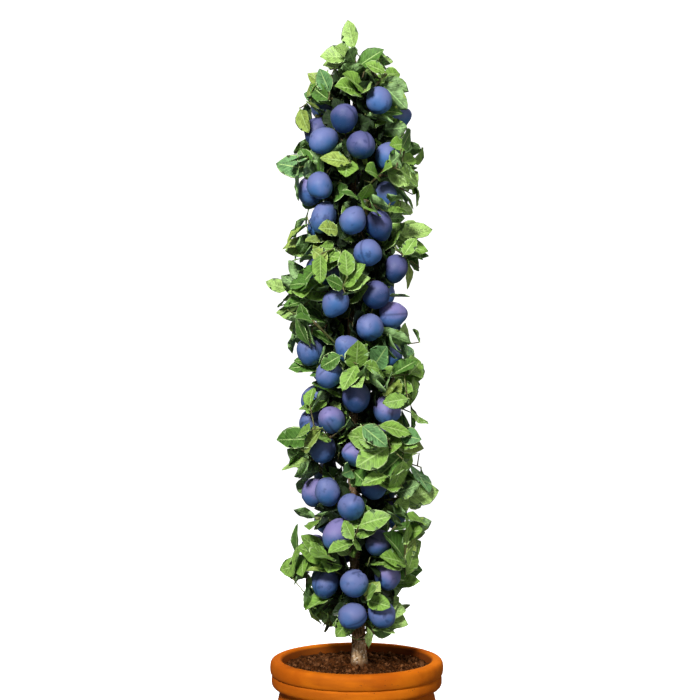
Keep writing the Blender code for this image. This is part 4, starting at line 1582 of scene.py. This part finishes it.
plum = begin(bpy.ops.mesh.primitive_uv_sphere_add, segments=24, ring_count=16, radius=1.0)
for depth, wanted in ((0.10, lambda p: p.z > 0.985), (0.02, lambda p: 0.90 < p.z < 0.985)):
    pick(plum, wanted)
    move(0, 0, -depth)
pick(plum, lambda p: p.x > 0 and abs(p.y) < 0.01 and abs(p.z) < 0.985)
resize(0.945, 1, 1)
pick(plum, lambda p: p.x > 0.3 and 0.2 < abs(p.y) < 0.75 and abs(p.z) < 0.7)
resize(1.02, 1.02, 1)
pick(plum, lambda p: p.z < -0.7)
resize(0.92, 0.92, 1.03)
bpy.ops.mesh.select_all(action="SELECT")
resize(1, 1, PLUM_STRETCH)
plum_model = Model(end(plum, "plum"))
plum_x, plum_y, plum_z = plum_model.points.T
plum_model.set_map("skin", 0.5 + 0.5 * plum_y, 0.5 + 0.5 * plum_x)
print("plum faces", len(plum_model.faces))

# %% All plums
PLUM_GIRTH = (0.91, 1.03)
PLUM_HEIGHT = (0.97, 1.13)
PLUM_LOPSIDED = 0.14
PLUM_UNEVEN = 0.035
PLUM_TAPER = (-0.14, 0.10)
TINT_CHOICES = (0, 0, 1, 1, 1, 2)


def plum_copy(centre, axis):
    """The model squeezed a little out of round, at its place"""
    squeeze = [rng.uniform(*limits) for limits in (PLUM_GIRTH, PLUM_GIRTH, PLUM_HEIGHT)]
    shape = plum_model.points * squeeze
    wave = np.sin(plum_model.points @ np.array(random_unit(rng)) * 3.5 + rng.uniform(0.0, math.tau))
    shape *= 1.0 + PLUM_UNEVEN * wave[:, None]
    shape[:, :2] *= 1.0 + rng.uniform(*PLUM_TAPER) * plum_z[:, None]
    shape[:, 0] += PLUM_LOPSIDED * rng.uniform(-1.0, 1.0) * shape[:, 2] * abs(shape[:, 2])
    return shape * PLUM_RADIUS @ axes(axis, random_unit(rng)) + np.array(centre[:])


copies, slots = [], []
for spray in sprays:
    for centre, axis in spray.plums:
        copies.append(plum_copy(centre, axis))
        slots.append([rng.choice(TINT_CHOICES)] * len(plum_model.faces))
plums = join_copies("plums", plum_model, copies, slots, PLUM_SLOTS)
for index in range(1, SPURS + 1):
    for piece in (twigs, leaves, shade_leaves, plums):
        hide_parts(f"spray_{index:02d}")
for piece in (twigs, leaves):
    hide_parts("top_tuft")

# %% [markdown]
# ## The studio
#
# The photograph is a cut-out on pure white. A white floor that also glows a little stays white
# where light falls on it and keeps a soft shadow at the pot. A tall wall all round glows for
# the camera alone, so that it adds no light of its own to the tree.

# %% Floor and wall
STAGE_RADIUS = 9.0
STAGE_SIDES = 96
WALL_HEIGHT = 9.0
WHITE = (1.0, 1.0, 1.0)
NEAR_POT = (0.55, 0.55, 0.55)
SHADOW_EDGE = (0.4, 2.6)


def glow(paint, colour):
    paint.set("Emission Color", colour)
    paint.set("Emission Strength", 1.0)
    return paint.material


def floor_paint():
    """Glows less near the pot, so that its shadow shows there"""
    paint = Paint("floor_white")
    paint.finish((0.8, 0.8, 0.8), 1.0)
    away = paint.length(paint.place()).over(*SHADOW_EDGE)
    return glow(paint, paint.mix(away, NEAR_POT, WHITE))


def stand_back(piece, material):
    """The stage is seen by the camera alone and lights nothing"""
    piece.data.materials.append(material)
    piece.visible_diffuse = piece.visible_glossy = piece.visible_transmission = False


floor = begin(bpy.ops.mesh.primitive_circle_add, vertices=STAGE_SIDES, radius=STAGE_RADIUS,
              fill_type="NGON")
bpy.ops.mesh.inset(thickness=STAGE_RADIUS * 0.5)
floor = end(floor, "floor")
stand_back(floor, floor_paint())
wall = begin(bpy.ops.mesh.primitive_circle_add, vertices=STAGE_SIDES, radius=STAGE_RADIUS,
             fill_type="NOTHING")
extrude(0, 0, WALL_HEIGHT)
extrude(0, 0, WALL_HEIGHT * 0.3)
bpy.ops.transform.resize(value=(0.02, 0.02, 1.0))
wall = end(wall, "wall")
stand_back(wall, glow(Paint("wall_white"), WHITE))
wall.visible_shadow = False
print("stage", STAGE_RADIUS, "m round")

# %% [markdown]
# A key light from the upper left and in front makes the shadows, a weaker one fills them, and one
# behind shapes the edges. The one behind gives no glare, which would bleach leaves seen edge-on.

# %% Lights
LIGHTS = (
    ("key", (-0.9, -2.7, 2.6), 0.8, 175.0),
    ("fill", (2.2, -2.0, 0.9), 1.4, 16.0),
    ("back", (0.8, 2.6, 2.4), 1.6, 95.0),
)
LIT_HEIGHT = 0.75
ROOM_LIGHT = 0.16

for name, place, size, power in LIGHTS:
    lamp = put_in_scene(name, bpy.data.lights.new(name, "AREA"))
    lamp.data.shape = "DISK"
    lamp.data.size = size
    lamp.data.energy = power
    lamp.location = place
    lamp.visible_glossy = name != "back"
    lamp.rotation_euler = (UP * LIT_HEIGHT - Vector(place)).to_track_quat("-Z", "Y").to_euler()
world = bpy.data.worlds.new("studio")
world.use_nodes = True
background = world.node_tree.nodes["Background"].inputs
background["Color"].default_value = (*WHITE, 1.0)
background["Strength"].default_value = ROOM_LIGHT
bpy.context.scene.world = world
bpy.context.scene.view_settings.view_transform = "Standard"
print("lights", len(LIGHTS))
